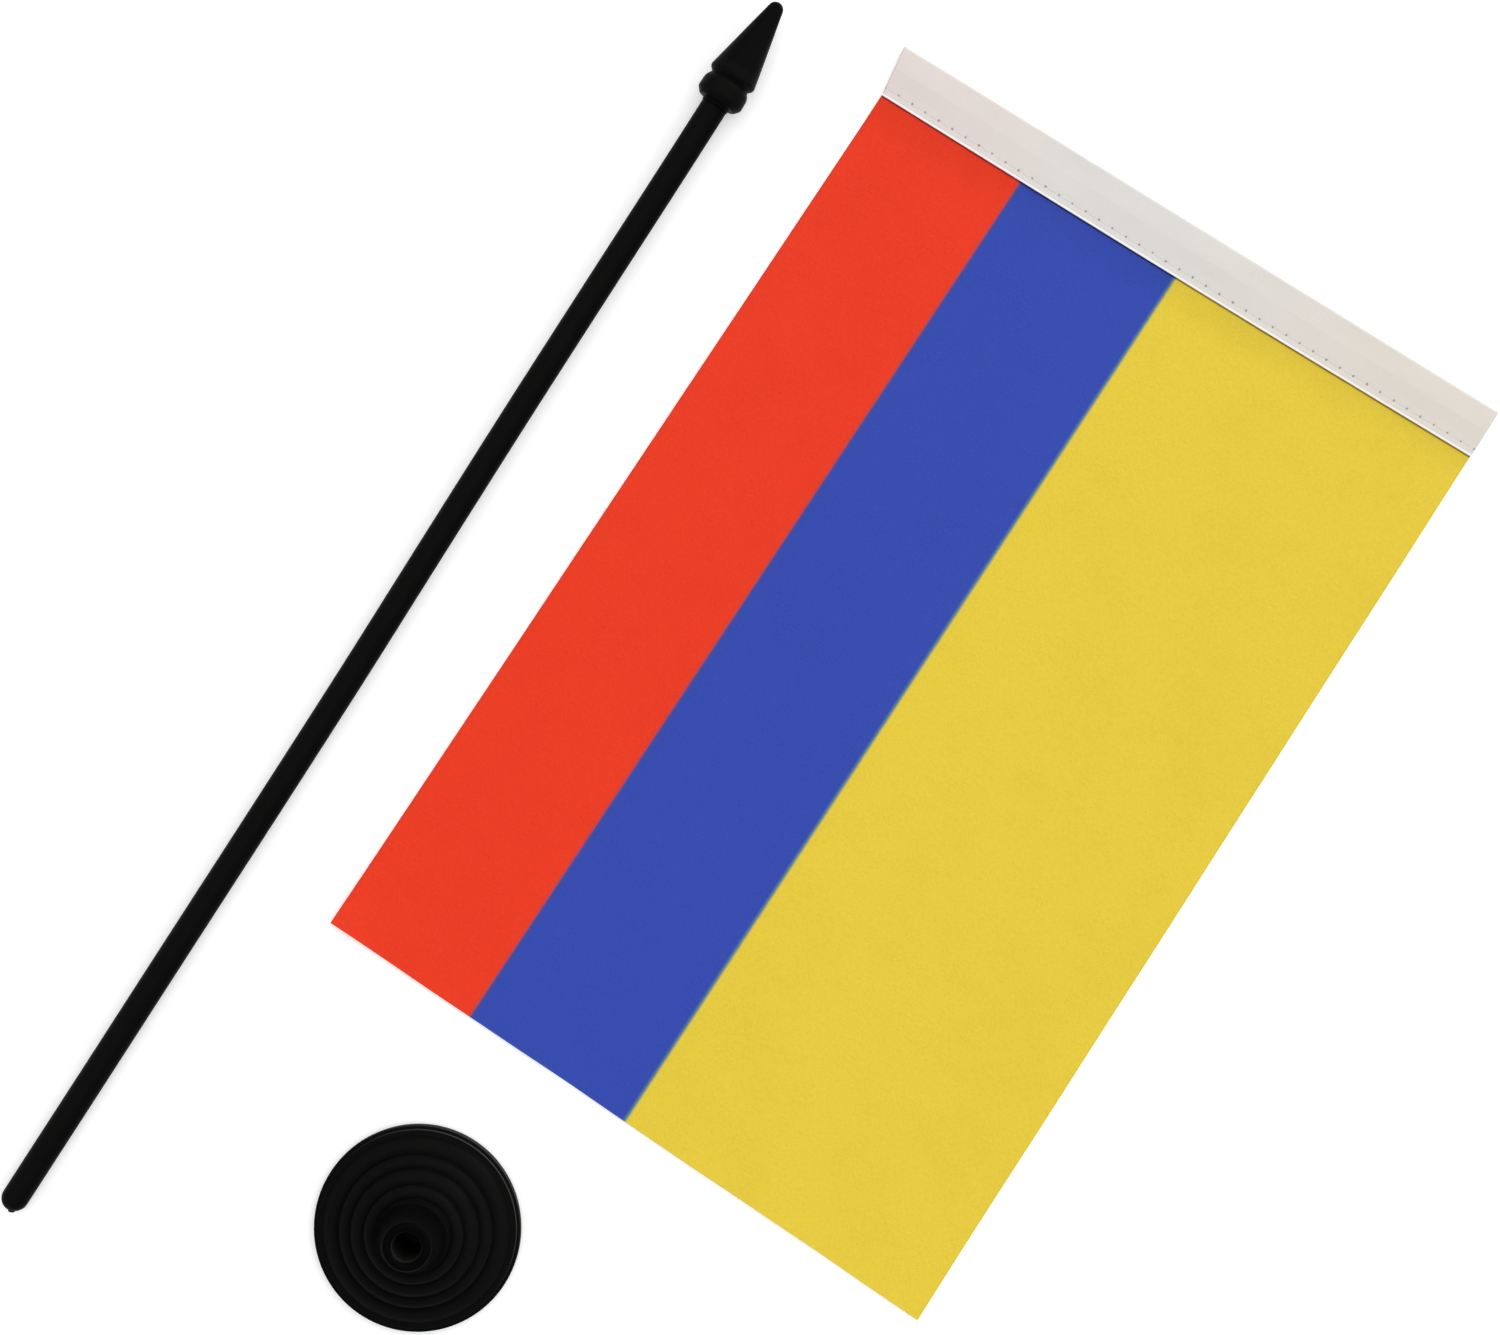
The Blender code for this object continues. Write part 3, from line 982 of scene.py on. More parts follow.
    def shell_profile(self) -> np.ndarray:
        """Half section of the shell, from the socket's floor over the outside and into the hollow."""
        floor = self.bottom + self.floor_thickness
        mouth: list[Corner] = [
            (0.0, floor, 0.0),
            (self.bore_radius, floor, 0.3 * MM),
            (self.bore_radius, self.top - self.mouth_chamfer, 0.2 * MM),
            (self.bore_radius + self.mouth_chamfer, self.top, 0.2 * MM),
        ]
        upper = filleted(mouth + self.boss_wall_corners())
        beads = [self.bead(inner, outer) for inner, outer in zip(self.bead_shares, self.bead_shares[1:])]
        tube = self.bore_radius + self.tube_wall
        ceiling = self.rim_height - self.wall
        slope = (self.cone_height - self.rim_height) / (self.cone_radius - self.boss_root)
        boss_inner = self.boss_root - self.wall
        boss_ceiling = ceiling + (self.cone_radius - boss_inner) * slope
        hollow_edge = self.bottom + self.skirt_height
        shoulder = self.rim_height - self.rim_drop
        skirt = self.radius - self.skirt_wall
        lower: list[Corner] = [
            (self.cone_radius, self.rim_height, 0.0),
            (self.radius - self.rim_step, self.rim_height, 0.28 * MM),
            (self.radius - self.rim_step, shoulder, 0.1 * MM),
            (self.radius, shoulder, self.rim_fillet),
            (self.radius, self.bottom, 0.12 * MM),
            (skirt, self.bottom, 0.1 * MM),
            (skirt, hollow_edge, 0.2 * MM),
            (self.cone_radius - (hollow_edge - ceiling) / slope, hollow_edge, 0.3 * MM),
            (boss_inner, boss_ceiling, 0.3 * MM),
            (tube, boss_ceiling + (boss_inner - tube) * self.tube_slope, 0.1 * MM),
            (tube, self.bottom, 0.15 * MM),
            (0.0, self.bottom, 0.0),
        ]
        return resampled(np.concatenate([upper, *beads, filleted(lower)[1:]]), 0.45 * MM)

    def cover_profile(self) -> np.ndarray:
        """Half section of the cover disc, with a register ring, a shallow groove and a gate mark."""
        step = self.bottom - self.seat_gap
        low, high, edge = self.plate_low, self.plate_high, self.plate_radius
        ring = self.radius - self.register_inset
        ring_inner = ring - self.register_wall
        narrow, wide = self.groove_half
        gate_inner, gate_outer = self.gate_radii
        corners: list[Corner] = [
            (0.0, step, 0.0),
            (ring_inner, step, 0.1 * MM),
            (ring_inner, high, 0.15 * MM),
            (ring, high, 0.15 * MM),
            (ring, step, 0.1 * MM),
            (edge, step, 0.15 * MM),
            (edge, low, 0.25 * MM),
            (self.groove_radius + wide, low, 0.1 * MM),
            (self.groove_radius + narrow, low + self.groove_depth, 0.1 * MM),
            (self.groove_radius - narrow, low + self.groove_depth, 0.1 * MM),
            (self.groove_radius - wide, low, 0.1 * MM),
            (gate_outer, low, 0.1 * MM),
            (gate_inner, low + self.gate_depth, 0.1 * MM),
            (0.0, low + self.gate_depth, 0.0),
        ]
        return resampled(filleted(corners, steps=4), 0.9 * MM)

    def build(self, plastic: bpy.types.Material, steel: bpy.types.Material) -> None:
        """Make the shell and the cover, and dress the ballast ring that the frame brings."""
        profile = self.shell_profile()
        shell = turned_mesh("base_shell_moulding", profile, self.segments, self.painted_light_map(profile))
        add_piece(shell, plastic, Body.BASE, "base_shell")
        profile = self.cover_profile()
        # an even level of painted light over the cover
        painted_light = np.full(len(profile), self.cover_painted_light)
        cover = turned_mesh("base_cover_disc", profile, self.segments, painted_light)
        add_piece(cover, plastic, Body.BASE, "base_plate")
        washer = self.nodes["ballast_washer"]
        washer.data.materials.clear()
        washer.data.materials.append(steel)
        LOG.info("ballast_washer keeps its frame shape and gets a plated finish")


@dataclass
class FlagPole:
    """The pole: a slightly bowed moulded rod with a domed foot, and a spear finial pushed onto it."""

    radius: float = 2.7 * MM
    foot_dome: float = 2.8 * MM
    gate_height: float = 0.34 * MM
    gate_radius: float = 0.65 * MM
    gate_offset: tuple[float, float] = (0.8 * MM, 0.0)
    side_shifts: tuple[float, ...] = (-0.39, -0.20, -0.04, 0.155, 0.24, 0.06, -0.05, 0.055, 0.19, 0.07)
    seam_ridge: float = 0.03 * MM
    seam_width: float = 0.22 * MM
    seam_from: float = 2.4 * MM
    spigot_radius: float = 1.9 * MM
    spigot_length: float = 8.0 * MM
    shoulder_gap: float = 0.06 * MM
    socket_gap: float = 0.2 * MM
    socket_spare: float = 0.3 * MM
    tip_radius: float = 1.6 * MM
    cone_slope: float = 0.2138
    spear_length: float = 16.8 * MM
    spear_fillet: float = 0.9 * MM
    spear_overrun: float = 0.7 * MM
    neck_radius: float = 4.1 * MM
    neck_length: float = 1.7 * MM
    collar_radius: float = 4.9 * MM
    collar_length: float = 4.9 * MM
    ferrule_wall: float = 0.14 * MM
    ferrule_length: float = 0.8 * MM
    # levels of painted light: a painted highlight streak down the rod, painted shade on the finial's neck
    rod_painted_light_least: float = 0.1
    neck_painted_shade: float = 0.65
    painted_light_proud: float = 0.45 * MM
    highlight_side: float = math.radians(232.0)
    segments: int = 120

    def __post_init__(self) -> None:
        """Take the pole's place, length and tilt from the frame."""
        rod_low, rod_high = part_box("pole_rod")
        tip_low, tip_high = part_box("finial")
        self.axis_x = (rod_low.x + rod_high.x) / 2
        neck_and_collar = self.neck_length + self.collar_length
        self.finial_length = self.spear_length + neck_and_collar + self.ferrule_length
        run = tip_high.y - rod_low.y
        rise = (self.collar_radius - self.radius) / (run - self.finial_length)
        self.tilt = math.atan(rise)
        self.length = run / math.cos(self.tilt)
        self.foot = Vector((self.axis_x, rod_low.y, self.radius - self.foot_dome * math.sin(self.tilt)))

    def place(self) -> Matrix:
        """The turn that lays a pole modelled upright from its foot onto the table."""
        return Matrix.Translation(self.foot) @ Matrix.Rotation(self.tilt - math.pi / 2, 4, "X")

    def warp(self, points: np.ndarray) -> np.ndarray:
        """Bow the pole sideways and raise its moulding seams.

        The sideways shift is a smooth curve through the side shifts, spaced evenly from the foot to the
        tip, and the seam is a narrow ridge, ridge * exp(-(distance from the seam / its width)^2), along
        both sides of the mould.

        Args:
            points: Points of the upright pole.

        Returns:
            The same points, moved.
        """
        bent = points.copy()
        radius = np.hypot(points[:, 0], points[:, 1])
        off_seam = np.abs(points[:, 1]) / self.seam_width
        ridge = np.where(radius > self.seam_from, self.seam_ridge * np.exp(-(off_seam**2)), 0.0)
        bent[:, 0] += np.sign(points[:, 0]) * ridge
        bent[:, 0] += curve_through(self.side_shifts, points[:, 2] / self.length) * MM
        return bent

    def warp_rod(self, points: np.ndarray) -> np.ndarray:
        """Bow the rod and raise the trimmed gate, a low round stub on its foot.

        Args:
            points: Points of the upright rod.

        Returns:
            The same points, moved.
        """
        off_gate = np.hypot(points[:, 0] - self.gate_offset[0], points[:, 1] - self.gate_offset[1])
        stub = smooth_step((self.gate_radius - off_gate) / (0.35 * self.gate_radius) + 0.5)
        bent = self.warp(points)
        bent[:, 2] -= np.where(points[:, 2] < self.foot_dome, self.gate_height * stub, 0.0)
        return bent

    def painted_highlight_streak(self) -> np.ndarray:
        """A painted highlight streak down one side of the rod: the least painted light, and the rest
        times the one-sided falloff.
        """
        return self.rod_painted_light_least + (1.0 - self.rod_painted_light_least) * highlight_falloff(self.segments, self.highlight_side)

    def rod_profile(self) -> np.ndarray:
        """Half section of the rod, from the spigot's end to the middle of the domed foot."""
        shoulder = self.length - self.finial_length - self.shoulder_gap
        end = shoulder + self.spigot_length
        straight: list[Corner] = [
            (0.0, end, 0.0),
            (self.spigot_radius, end, 0.4 * MM),
            (self.spigot_radius, shoulder, 0.1 * MM),
            (self.radius, shoulder, 0.15 * MM),
            (self.radius, self.foot_dome, 0.0),
        ]
        angle = np.linspace(0.0, math.pi / 2, 19)[1:]
        dome = np.stack(
            [self.radius * np.cos(angle), self.foot_dome * (1.0 - np.sin(angle))], axis=1
        )
        dome[-1, 0] = 0.0
        return np.concatenate([resampled(filleted(straight), 4.0 * MM), dome])

    def finial_profile(self) -> np.ndarray:
        """Half section of the finial, from its blunt tip to the blind end of its socket.

        The tip is a ball whose surface runs into the spear's cone where the two have the same slope.
        """
        end = self.finial_length
        blind = end - self.spigot_length - self.socket_spare
        ferrule = self.radius + self.ferrule_wall
        socket = self.spigot_radius + self.socket_gap
        cone = math.atan(self.cone_slope)
        turn = np.linspace(math.pi / 2, cone, 11)
        tip = np.stack([np.cos(turn), np.sin(turn) - 1.0], axis=1) * self.tip_radius
        tip[0, 0] = 0.0
        edge = self.spear_length + self.spear_overrun
        edge_radius = tip[-1, 0] + self.cone_slope * (edge + tip[-1, 1])
        notch = self.spear_length + self.neck_length
        collar_end = notch + self.collar_length
        outline: list[Corner] = [
            (tip[-1, 0], -tip[-1, 1], 0.0),
            (edge_radius, edge, self.spear_fillet),
            (self.neck_radius, notch, 0.25 * MM),
            (self.collar_radius - 0.02 * MM, notch + 1.3 * MM, 2.4 * MM),
            (self.collar_radius + 0.05 * MM, collar_end - 1.15 * MM, 1.0 * MM),
            (self.neck_radius - 0.1 * MM, collar_end - 0.05 * MM, 0.3 * MM),
            (ferrule, collar_end + 0.1 * MM, 0.1 * MM),
            (ferrule, end, 0.12 * MM),
            (socket, end, 0.08 * MM),
            (socket, blind, 0.1 * MM),
            (0.0, blind, 0.0),
        ]
        body = resampled(filleted(outline, 8), 0.5 * MM)
        body[:, 1] *= -1.0
        return np.concatenate([tip[:-1], body]) + [0.0, self.length]

    def build(self, plastic: bpy.types.Material) -> None:
        """Make the rod and the finial."""
        profile = self.rod_profile()
        # a painted lengthwise highlight down one side of the rod
        painted_light = np.broadcast_to(self.painted_highlight_streak(), (len(profile), self.segments))
        rod = turned_mesh("pole_rod_moulding", profile, self.segments, painted_light, self.place(), self.warp_rod)
        add_piece(rod, plastic, Body.POLE, "pole_rod")
        profile = self.finial_profile()
        # painted light on the finial's proud parts, painted shade on its neck
        painted_light = np.where(profile[:, 0] > self.neck_radius + self.painted_light_proud, 1.0, self.neck_painted_shade)
        tip = turned_mesh("spear_finial", profile, self.segments, painted_light, self.place(), self.warp)
        add_piece(tip, plastic, Body.POLE, "finial")


@dataclass
class Flag:
    """The flag: a printed cloth whose seam edge is held in a folded strip by one row of stitches."""

    nodes: dict[str, bpy.types.Object]
    cloth: float = 0.2 * MM
    table_gap: float = 0.02 * MM
    layer_gap: float = 0.03 * MM
    lowest_layer: float = 0.20 * MM
    stitch_count: int = 44
    seam_sag: float = 0.28 * MM
    hem: float = 3.0 * MM
    hem_bend: float = 0.11 * MM
    tuck: float = 3.0 * MM
    tuck_draw: float = 0.006
    fold_bend: float = 0.42 * MM
    pocket_rise: float = 0.16 * MM
    waves: tuple[Wave, ...] = (
        (0.16 * MM, 83.0 * MM, 310.0 * MM, 0.6),
        (0.11 * MM, -240.0 * MM, 127.0 * MM, 2.1),
        (0.05 * MM, 29.0 * MM, 61.0 * MM, 4.0),
    )
    side_wave: Wave = (0.10 * MM, math.inf, 43.0 * MM, 1.0)
    side_reach: float = 3.0 * MM
    end_ripple: Wave = (0.09 * MM, 21.0 * MM, math.inf, 0.5)
    end_reach: float = 5.0 * MM
    corner_lifts: tuple[float, float] = (0.8 * MM, 0.6 * MM)
    corner_reaches: tuple[float, float] = (9.0 * MM, 10.0 * MM)
    end_wobble: Wave = (0.05 * MM, 52.0 * MM, math.inf, 1.2)
    wobble_reach: float = 12.0 * MM
    entering_reach: float = 6.5 * MM
    pucker_start: float = 0.8 * MM
    pucker_count: int = 26
    pucker_widths: tuple[float, float] = (0.9, 2.6)
    pucker_lengths: tuple[float, float] = (2.5, 9.0)
    pucker_heights: tuple[float, float] = (-0.10, 0.16)
    stitch_pucker: float = 0.035 * MM
    stitch_pucker_reach: float = 1.6 * MM
    pocket_waves: tuple[Wave, ...] = (
        (0.09 * MM, 61.0 * MM, math.inf, 0.8),
        (0.05 * MM, 23.0 * MM, math.inf, 0.0),
    )
    dimple_depth: float = 0.10 * MM
    dimple_radius: float = 0.32 * MM
    pulled_share: float = 0.35
    pulled_width: float = 0.5 * MM
    thread_radius: float = 0.11 * MM
    thread_sides: int = 8
    thread_steps: int = 12
    stitch_reach: tuple[float, float] = (0.06, 0.88)
    stitch_dive: float = 0.12 * MM
    stitch_rise: float = 0.11 * MM
    columns: int = 380
    near_edge: tuple[float, ...] = (0.0, 0.10 * MM, 0.30 * MM, 0.80 * MM)
    field_from: float = 2.0 * MM
    seam_band: float = 12.0 * MM
    field_rows: tuple[int, int, int] = (84, 34, 9)
    seed: int = 7

    def __post_init__(self) -> None:
        """Take the flag's corners from the frame."""
        self.free = self.corners("flag_field", -1.0)
        self.seam = self.corners("flag_sleeve", -1.0)
        self.fold = self.corners("flag_sleeve", 1.0)

    def corners(self, node: str, side: float) -> tuple[np.ndarray, np.ndarray]:
        """The two corners of a node's near (-1) or far (1) edge, the pole's side first.

        Args:
            node: The node's name.
            side: Which edge.

        Returns:
            The two corners on the table.
        """
        points = np.array([vertex.co[:2] for vertex in self.nodes[node].data.vertices], float)
        left = points[np.argmax(points @ np.array([-1.0, side]))]
        right = points[np.argmax(points @ np.array([1.0, side]))]
        return left, right

    def on_edge(self, edge: tuple[np.ndarray, np.ndarray], share: np.ndarray) -> np.ndarray:
        """Points at those shares of the way along an edge."""
        return edge[0] + (edge[1] - edge[0]) * share[..., None]

    def sag(self, share: np.ndarray) -> np.ndarray:
        """How far the seam bows towards the free edge: sag * sin(pi share^1.15)."""
        return self.seam_sag * np.sin(math.pi * np.clip(share, 0.0, 1.0) ** 1.15)

    def puckers(self, across: np.ndarray, from_seam: np.ndarray, spread_out: float) -> np.ndarray:
        """Ridges that the stitching draws into the cloth.

        Each is a Gaussian across its width that fades over its length from the seam; the finest follow
        the stitches as a cosine.

        Args:
            across: Distances across the flag.
            from_seam: Distances from the seam.
            spread_out: The flag's width.

        Returns:
            The ridges' heights.
        """
        chance = np.random.default_rng(self.seed)
        middles = chance.uniform(0.0, spread_out, self.pucker_count)
        widths = chance.uniform(*self.pucker_widths, self.pucker_count) * MM
        lengths = chance.uniform(*self.pucker_lengths, self.pucker_count) * MM
        heights = chance.uniform(*self.pucker_heights, self.pucker_count) * MM
        height = np.zeros_like(across)
        for middle, width, length, rise in zip(middles, widths, lengths, heights):
            height += rise * np.exp(-(((across - middle) / width) ** 2)) * np.exp(-from_seam / length)
        at_stitches = np.cos(math.tau * across / (spread_out / self.stitch_count))
        return height + self.stitch_pucker * at_stitches * np.exp(-from_seam / self.stitch_pucker_reach)

    def field_flat(self, across: np.ndarray, along: np.ndarray) -> np.ndarray:
        """Places on the table of the printed cloth's points.

        Up to the seam a point is the blend of the free edge and the seam edge at its share along. Past
        it the cloth runs straight on into the sleeve for the tuck's length, drawn in a little at both
        sides.

        Args:
            across: Shares across the flag.
            along: Shares from the free edge, 0, to the seam, 1, and to the tucked edge, 2.

        Returns:
            The places, with one more axis for their two coordinates.
        """
        tucked = np.clip(along - 1.0, 0.0, None)
        drawn = 0.5 + (across - 0.5) * (1.0 - self.tuck_draw * tucked)
        seam, fold = self.on_edge(self.seam, drawn), self.on_edge(self.fold, drawn)
        inward = (fold - seam) / np.linalg.norm(fold - seam, axis=-1, keepdims=True)
        share = np.minimum(along, 1.0)[..., None]
        pushed_in = inward * self.tuck * tucked[..., None]
        return self.on_edge(self.free, drawn) * (1.0 - share) + seam * share + pushed_in

    def field_rows_along(self, length: float) -> np.ndarray:
        """Shares of the printed cloth's rows: close at its free edge and seam, wider between them.

        Args:
            length: From the free edge to the seam.

        Returns:
            The shares, 1 at the seam and 2 at the tucked edge.
        """
        near_seam = 1.0 - self.seam_band / length
        middle, band, tucked = self.field_rows
        return np.concatenate(
            [
                np.array(self.near_edge) / length,
                np.linspace(self.field_from / length, near_seam, middle)[:-1],
                np.linspace(near_seam, 1.0, band)[:-1],
                np.linspace(1.0, 2.0, tucked),
            ]
        )

    def lift(self, a: np.ndarray, b: np.ndarray, width: float) -> np.ndarray:
        """How far the printed cloth stands off the table away from the seam.

        It is the sum of long swells, one that fades exponentially from the two sides, one that fades
        from the free edge, and a corner lift * exp(-a / reach) * exp(-b / reach) at each free corner.

        Args:
            a: Distances across the cloth.
            b: Distances along it from the free edge.
            width: The cloth's width.

        Returns:
            The heights.
        """
        side = np.minimum(a, width - a)
        height = sum(swell(wave, a, b) for wave in self.waves)
        height = height + swell(self.side_wave, a, b) * np.exp(-side / self.side_reach)
        for lift, reach, from_side in zip(self.corner_lifts, self.corner_reaches, (a, width - a)):
            height = height + lift * np.exp(-from_side / reach) * np.exp(-b / reach)
        return height + swell(self.end_ripple, a, b) * np.exp(-b / self.end_reach)

    def field_surface(self) -> tuple[np.ndarray, np.ndarray]:
        """The printed cloth's middle surface and its map.

        Its height is a few long waves, lifted corners that fade exponentially, a rise into the sleeve
        eased over the last millimetres, and the seam's puckers.

        Returns:
            The grid of points, and for each its share across and its distance from the seam edge, which
            is negative inside the sleeve.
        """
        width, length = self.field_size()
        shares = np.linspace(0.0, 1.0, self.columns)
        along, across = np.meshgrid(self.field_rows_along(length), shares, indexing="ij")
        flat = self.field_flat(across, along)
        a, b = across * width, np.minimum(along, 1.0) * length
        from_seam = self.on_edge(self.seam, across)[..., 1] - self.sag(across) - flat[..., 1]
        before = np.clip(from_seam, 0.0, None)
        entering = 1.0 - smooth_step(before / self.entering_reach)
        puckers = self.puckers(a, before, width) * smooth_step(before / self.pucker_start)
        resting = self.resting()
        height = resting + self.lift(a, b, width) * (1.0 - entering)
        height += entering * (self.layer(2) - resting) + puckers
        wobble = ripple(self.end_wobble, a, b) * np.exp(-b / self.wobble_reach)
        points = np.stack([flat[..., 0], flat[..., 1] + wobble, np.maximum(height, resting)], axis=-1)
        return points, np.stack([across, from_seam], axis=-1)

    def field_size(self) -> tuple[float, float]:
        """The printed cloth's width along the free edge, and its length from there to the seam."""
        width = float(np.linalg.norm(self.free[1] - self.free[0]))
        middle = (self.seam[0] + self.seam[1] - self.free[0] - self.free[1]) / 2
        return width, float(np.linalg.norm(middle))

    def layer(self, number: int) -> float:
        """Middle height of one of the five cloth layers stacked at the seam, counted from 0 below."""
        return self.lowest_layer + number * (self.cloth + self.layer_gap)

    def resting(self) -> float:
        """Middle height of cloth that lies on the table."""
        return self.cloth / 2 + self.table_gap

    def strip_path(self, depth: float) -> np.ndarray:
        """The sleeve's cross section as (distance from the seam edge, height).

        It starts at the raw edge turned under on top, rounds the top hem at the seam, runs over the
        pocket to the fold, returns underneath and turns its other raw edge in.

        Args:
            depth: From the seam edge to the fold.

        Returns:
            The section's points.
        """
        top, tucked_top = self.layer(4), self.layer(3)
        low, tucked_low = self.layer(0), self.layer(1)
        fold = depth - 0.1 * MM
        resting = self.resting()
        corners: list[Corner] = [
            (self.hem, tucked_top, 0.0),
            (0.0, tucked_top, self.hem_bend),
            (0.0, top, self.hem_bend),
            (self.hem * 0.9, top + 0.02 * MM, 1.0 * MM),
            (depth * 0.55, top + self.pocket_rise, 4.0 * MM),
            (fold, top + 0.05 * MM, self.fold_bend),
            (fold, resting, self.fold_bend),
            (self.hem * 1.3, resting, 1.0 * MM),
            (self.hem * 0.9, low, 1.0 * MM),
            (0.0, low, self.hem_bend),
            (0.0, tucked_low, self.hem_bend),
            (self.hem, tucked_low, 0.0),
        ]
        return resampled(filleted(corners, steps=6), 0.45 * MM)

    def sleeve_surface(self) -> tuple[np.ndarray, np.ndarray]:
        """The sleeve strip's middle surface and its map in metres.

        The cross section is carried from one end of the seam to the other: a point lies at the
        section's share of the way from the seam to the fold, at the section's height, dimpled by a
        Gaussian round each needle hole and gently wavy over the pocket.

        Returns:
            The grid of points, and for each its distance along the seam and along the strip, counted
            from the seam edge on top.
        """
        share = np.linspace(0.0, 1.0, self.columns)
        seam, fold = self.on_edge(self.seam, share), self.on_edge(self.fold, share)
        seam[:, 1] -= self.sag(share)
        depth = float(np.linalg.norm(fold - seam, axis=1).mean())
        path = self.strip_path(depth)
        steps = np.linalg.norm(np.diff(path, axis=0), axis=1)
        walked = np.concatenate([[0.0], np.cumsum(steps)])
        past_hem = (walked > self.hem * 0.6) & (path[:, 1] > self.layer(4) - 0.12 * MM)
        down = walked - walked[np.argmax(past_hem)]
        reach = (path[:, 0] / depth)[:, None, None]
        flat = seam[None] * (1.0 - reach) + fold[None] * reach
        seam_length = float(np.linalg.norm(self.seam[1] - self.seam[0]))
        a = (share * seam_length)[None] + 0.0 * path[:, :1]
        on_top = (path[:, 1:] > self.layer(3) + 0.11 * MM) & (down[:, None] > -0.2 * MM)
        loft = np.sin(math.pi * np.clip((path[:, :1] - self.hem) / (depth - self.hem), 0.0, 1.0))
        wave = sum(ripple(wave, a, a) for wave in self.pocket_waves)
        pitch = seam_length / self.stitch_count
        off_hole = (a / pitch - np.round(a / pitch)) * pitch
        off_row = path[:, :1] - STITCH_INSET
        dimple = np.exp(-(off_hole**2 + off_row**2) / self.dimple_radius**2)
        pulled = self.pulled_share * np.exp(-((off_row / self.pulled_width) ** 2))
        height = path[:, 1:] + np.where(on_top, wave * loft - self.dimple_depth * (dimple + pulled), 0.0)
        points = np.concatenate([flat, height[..., None]], axis=-1)
        return points, np.stack([a, down[:, None] + 0.0 * a], axis=-1)

    def stitch_points(self, share: np.ndarray) -> np.ndarray:
        """Places on the table of the row of stitches, at those shares along the seam.

        Args:
            share: Shares along the seam.

        Returns:
            The places.
        """
        seam, fold = self.on_edge(self.seam, share), self.on_edge(self.fold, share)
        seam[..., 1] -= self.sag(share)
        depth = np.linalg.norm(fold - seam, axis=-1, keepdims=True)
        return seam + (fold - seam) * (STITCH_INSET / depth)

    def stitches_mesh(self) -> bpy.types.Mesh:
        """Every stitch of the lockstitch row, above and below the sleeve.

        A stitch is a tube between two needle holes whose middle line rises as the fourth root of a
        half sine, so that it lies flat and dives steeply at both ends.

        Returns:
            The mesh of all of them.
        """
        turn = np.linspace(0.0, math.tau, self.thread_sides, endpoint=False)
        along = np.linspace(0.0, 1.0, self.thread_steps)
        arch = np.sin(math.pi * along) ** 0.25
        gap, reach = self.stitch_reach
        share = (np.arange(self.stitch_count)[:, None] + gap + reach * along[None]) / self.stitch_count
        line = self.stitch_points(share)
        radius = self.thread_radius * (0.55 + 0.45 * arch)
        ring_y = line[..., None, 1] + radius[None, :, None] * np.cos(turn)[None, None]
        ring_x = line[..., None, 0] + 0.0 * ring_y
        patterns = capped_tube(self.thread_steps, self.thread_sides)
        above = self.layer(4) + self.cloth / 2 - self.layer_gap
        below = self.layer(0) - self.cloth / 2
        points: list[np.ndarray] = []
        faces: list[list[int]] = []
        for level, way in ((above, 1.0), (below, -1.0)):
            middle = level + way * (self.stitch_rise * arch - self.stitch_dive)
            ring_z = (middle[:, None] + radius[:, None] * 0.8 * np.sin(turn)[None])[None] + 0.0 * ring_y
            rings = np.stack([ring_x, ring_y, ring_z], axis=-1).reshape(self.stitch_count, -1, 3)
            ends = [rings[:, : self.thread_sides], rings[:, -self.thread_sides :]]
            middles = np.stack([end.mean(axis=1) for end in ends], axis=1)
            block = np.concatenate([rings, middles], axis=1)
            first = sum(len(part) for part in points)
            offsets = first + np.arange(self.stitch_count)[:, None, None] * block.shape[1]
            for pattern in patterns:
                faces.extend((offsets + pattern[None]).reshape(-1, pattern.shape[1]).tolist())
            points.append(block.reshape(-1, 3))
        mesh = bpy.data.meshes.new("sleeve_stitch_row")
        mesh.from_pydata(np.concatenate(points).tolist(), [], faces)
        mesh.validate()
        return mesh

    def add_sheet(
        self,
        name: str,
        surface: tuple[np.ndarray, np.ndarray],
        material: bpy.types.Material,
        node: str,
    ) -> bpy.types.Object:
        """Make a sheet of a grid of points and its map, its thickness half to each side.

        Args:
            name: The sheet's name.
            surface: Its middle surface and the surface's map.
            material: Its finish.
            node: The frame's node that it stands for.

        Returns:
            The sheet.
        """
        points, surface_map = surface
        faces = quads_of(*points.shape[:2], wrap=False)
        mesh = mesh_of(name, points.reshape(-1, 3), faces, surface_map.reshape(-1, 2))
        piece = add_piece(mesh, material, Body.FLAG, node)
        solidify = piece.modifiers.new("cloth", "SOLIDIFY")
        solidify.thickness = self.cloth
        solidify.offset = 0.0
        return piece

    def build(
        self, printed: bpy.types.Material, white: bpy.types.Material, thread: bpy.types.Material
    ) -> None:
        """Make the printed cloth, the sleeve strip and its stitches."""
        surface = self.field_surface()
        cloth = self.add_sheet("printed_cloth_field", surface, printed, "flag_field")
        strip = self.sleeve_surface()
        sleeve = self.add_sheet("folded_sleeve_strip", strip, white, "flag_sleeve")
        stitches = add_piece(self.stitches_mesh(), thread, Body.FLAG, "sleeve_stitching")


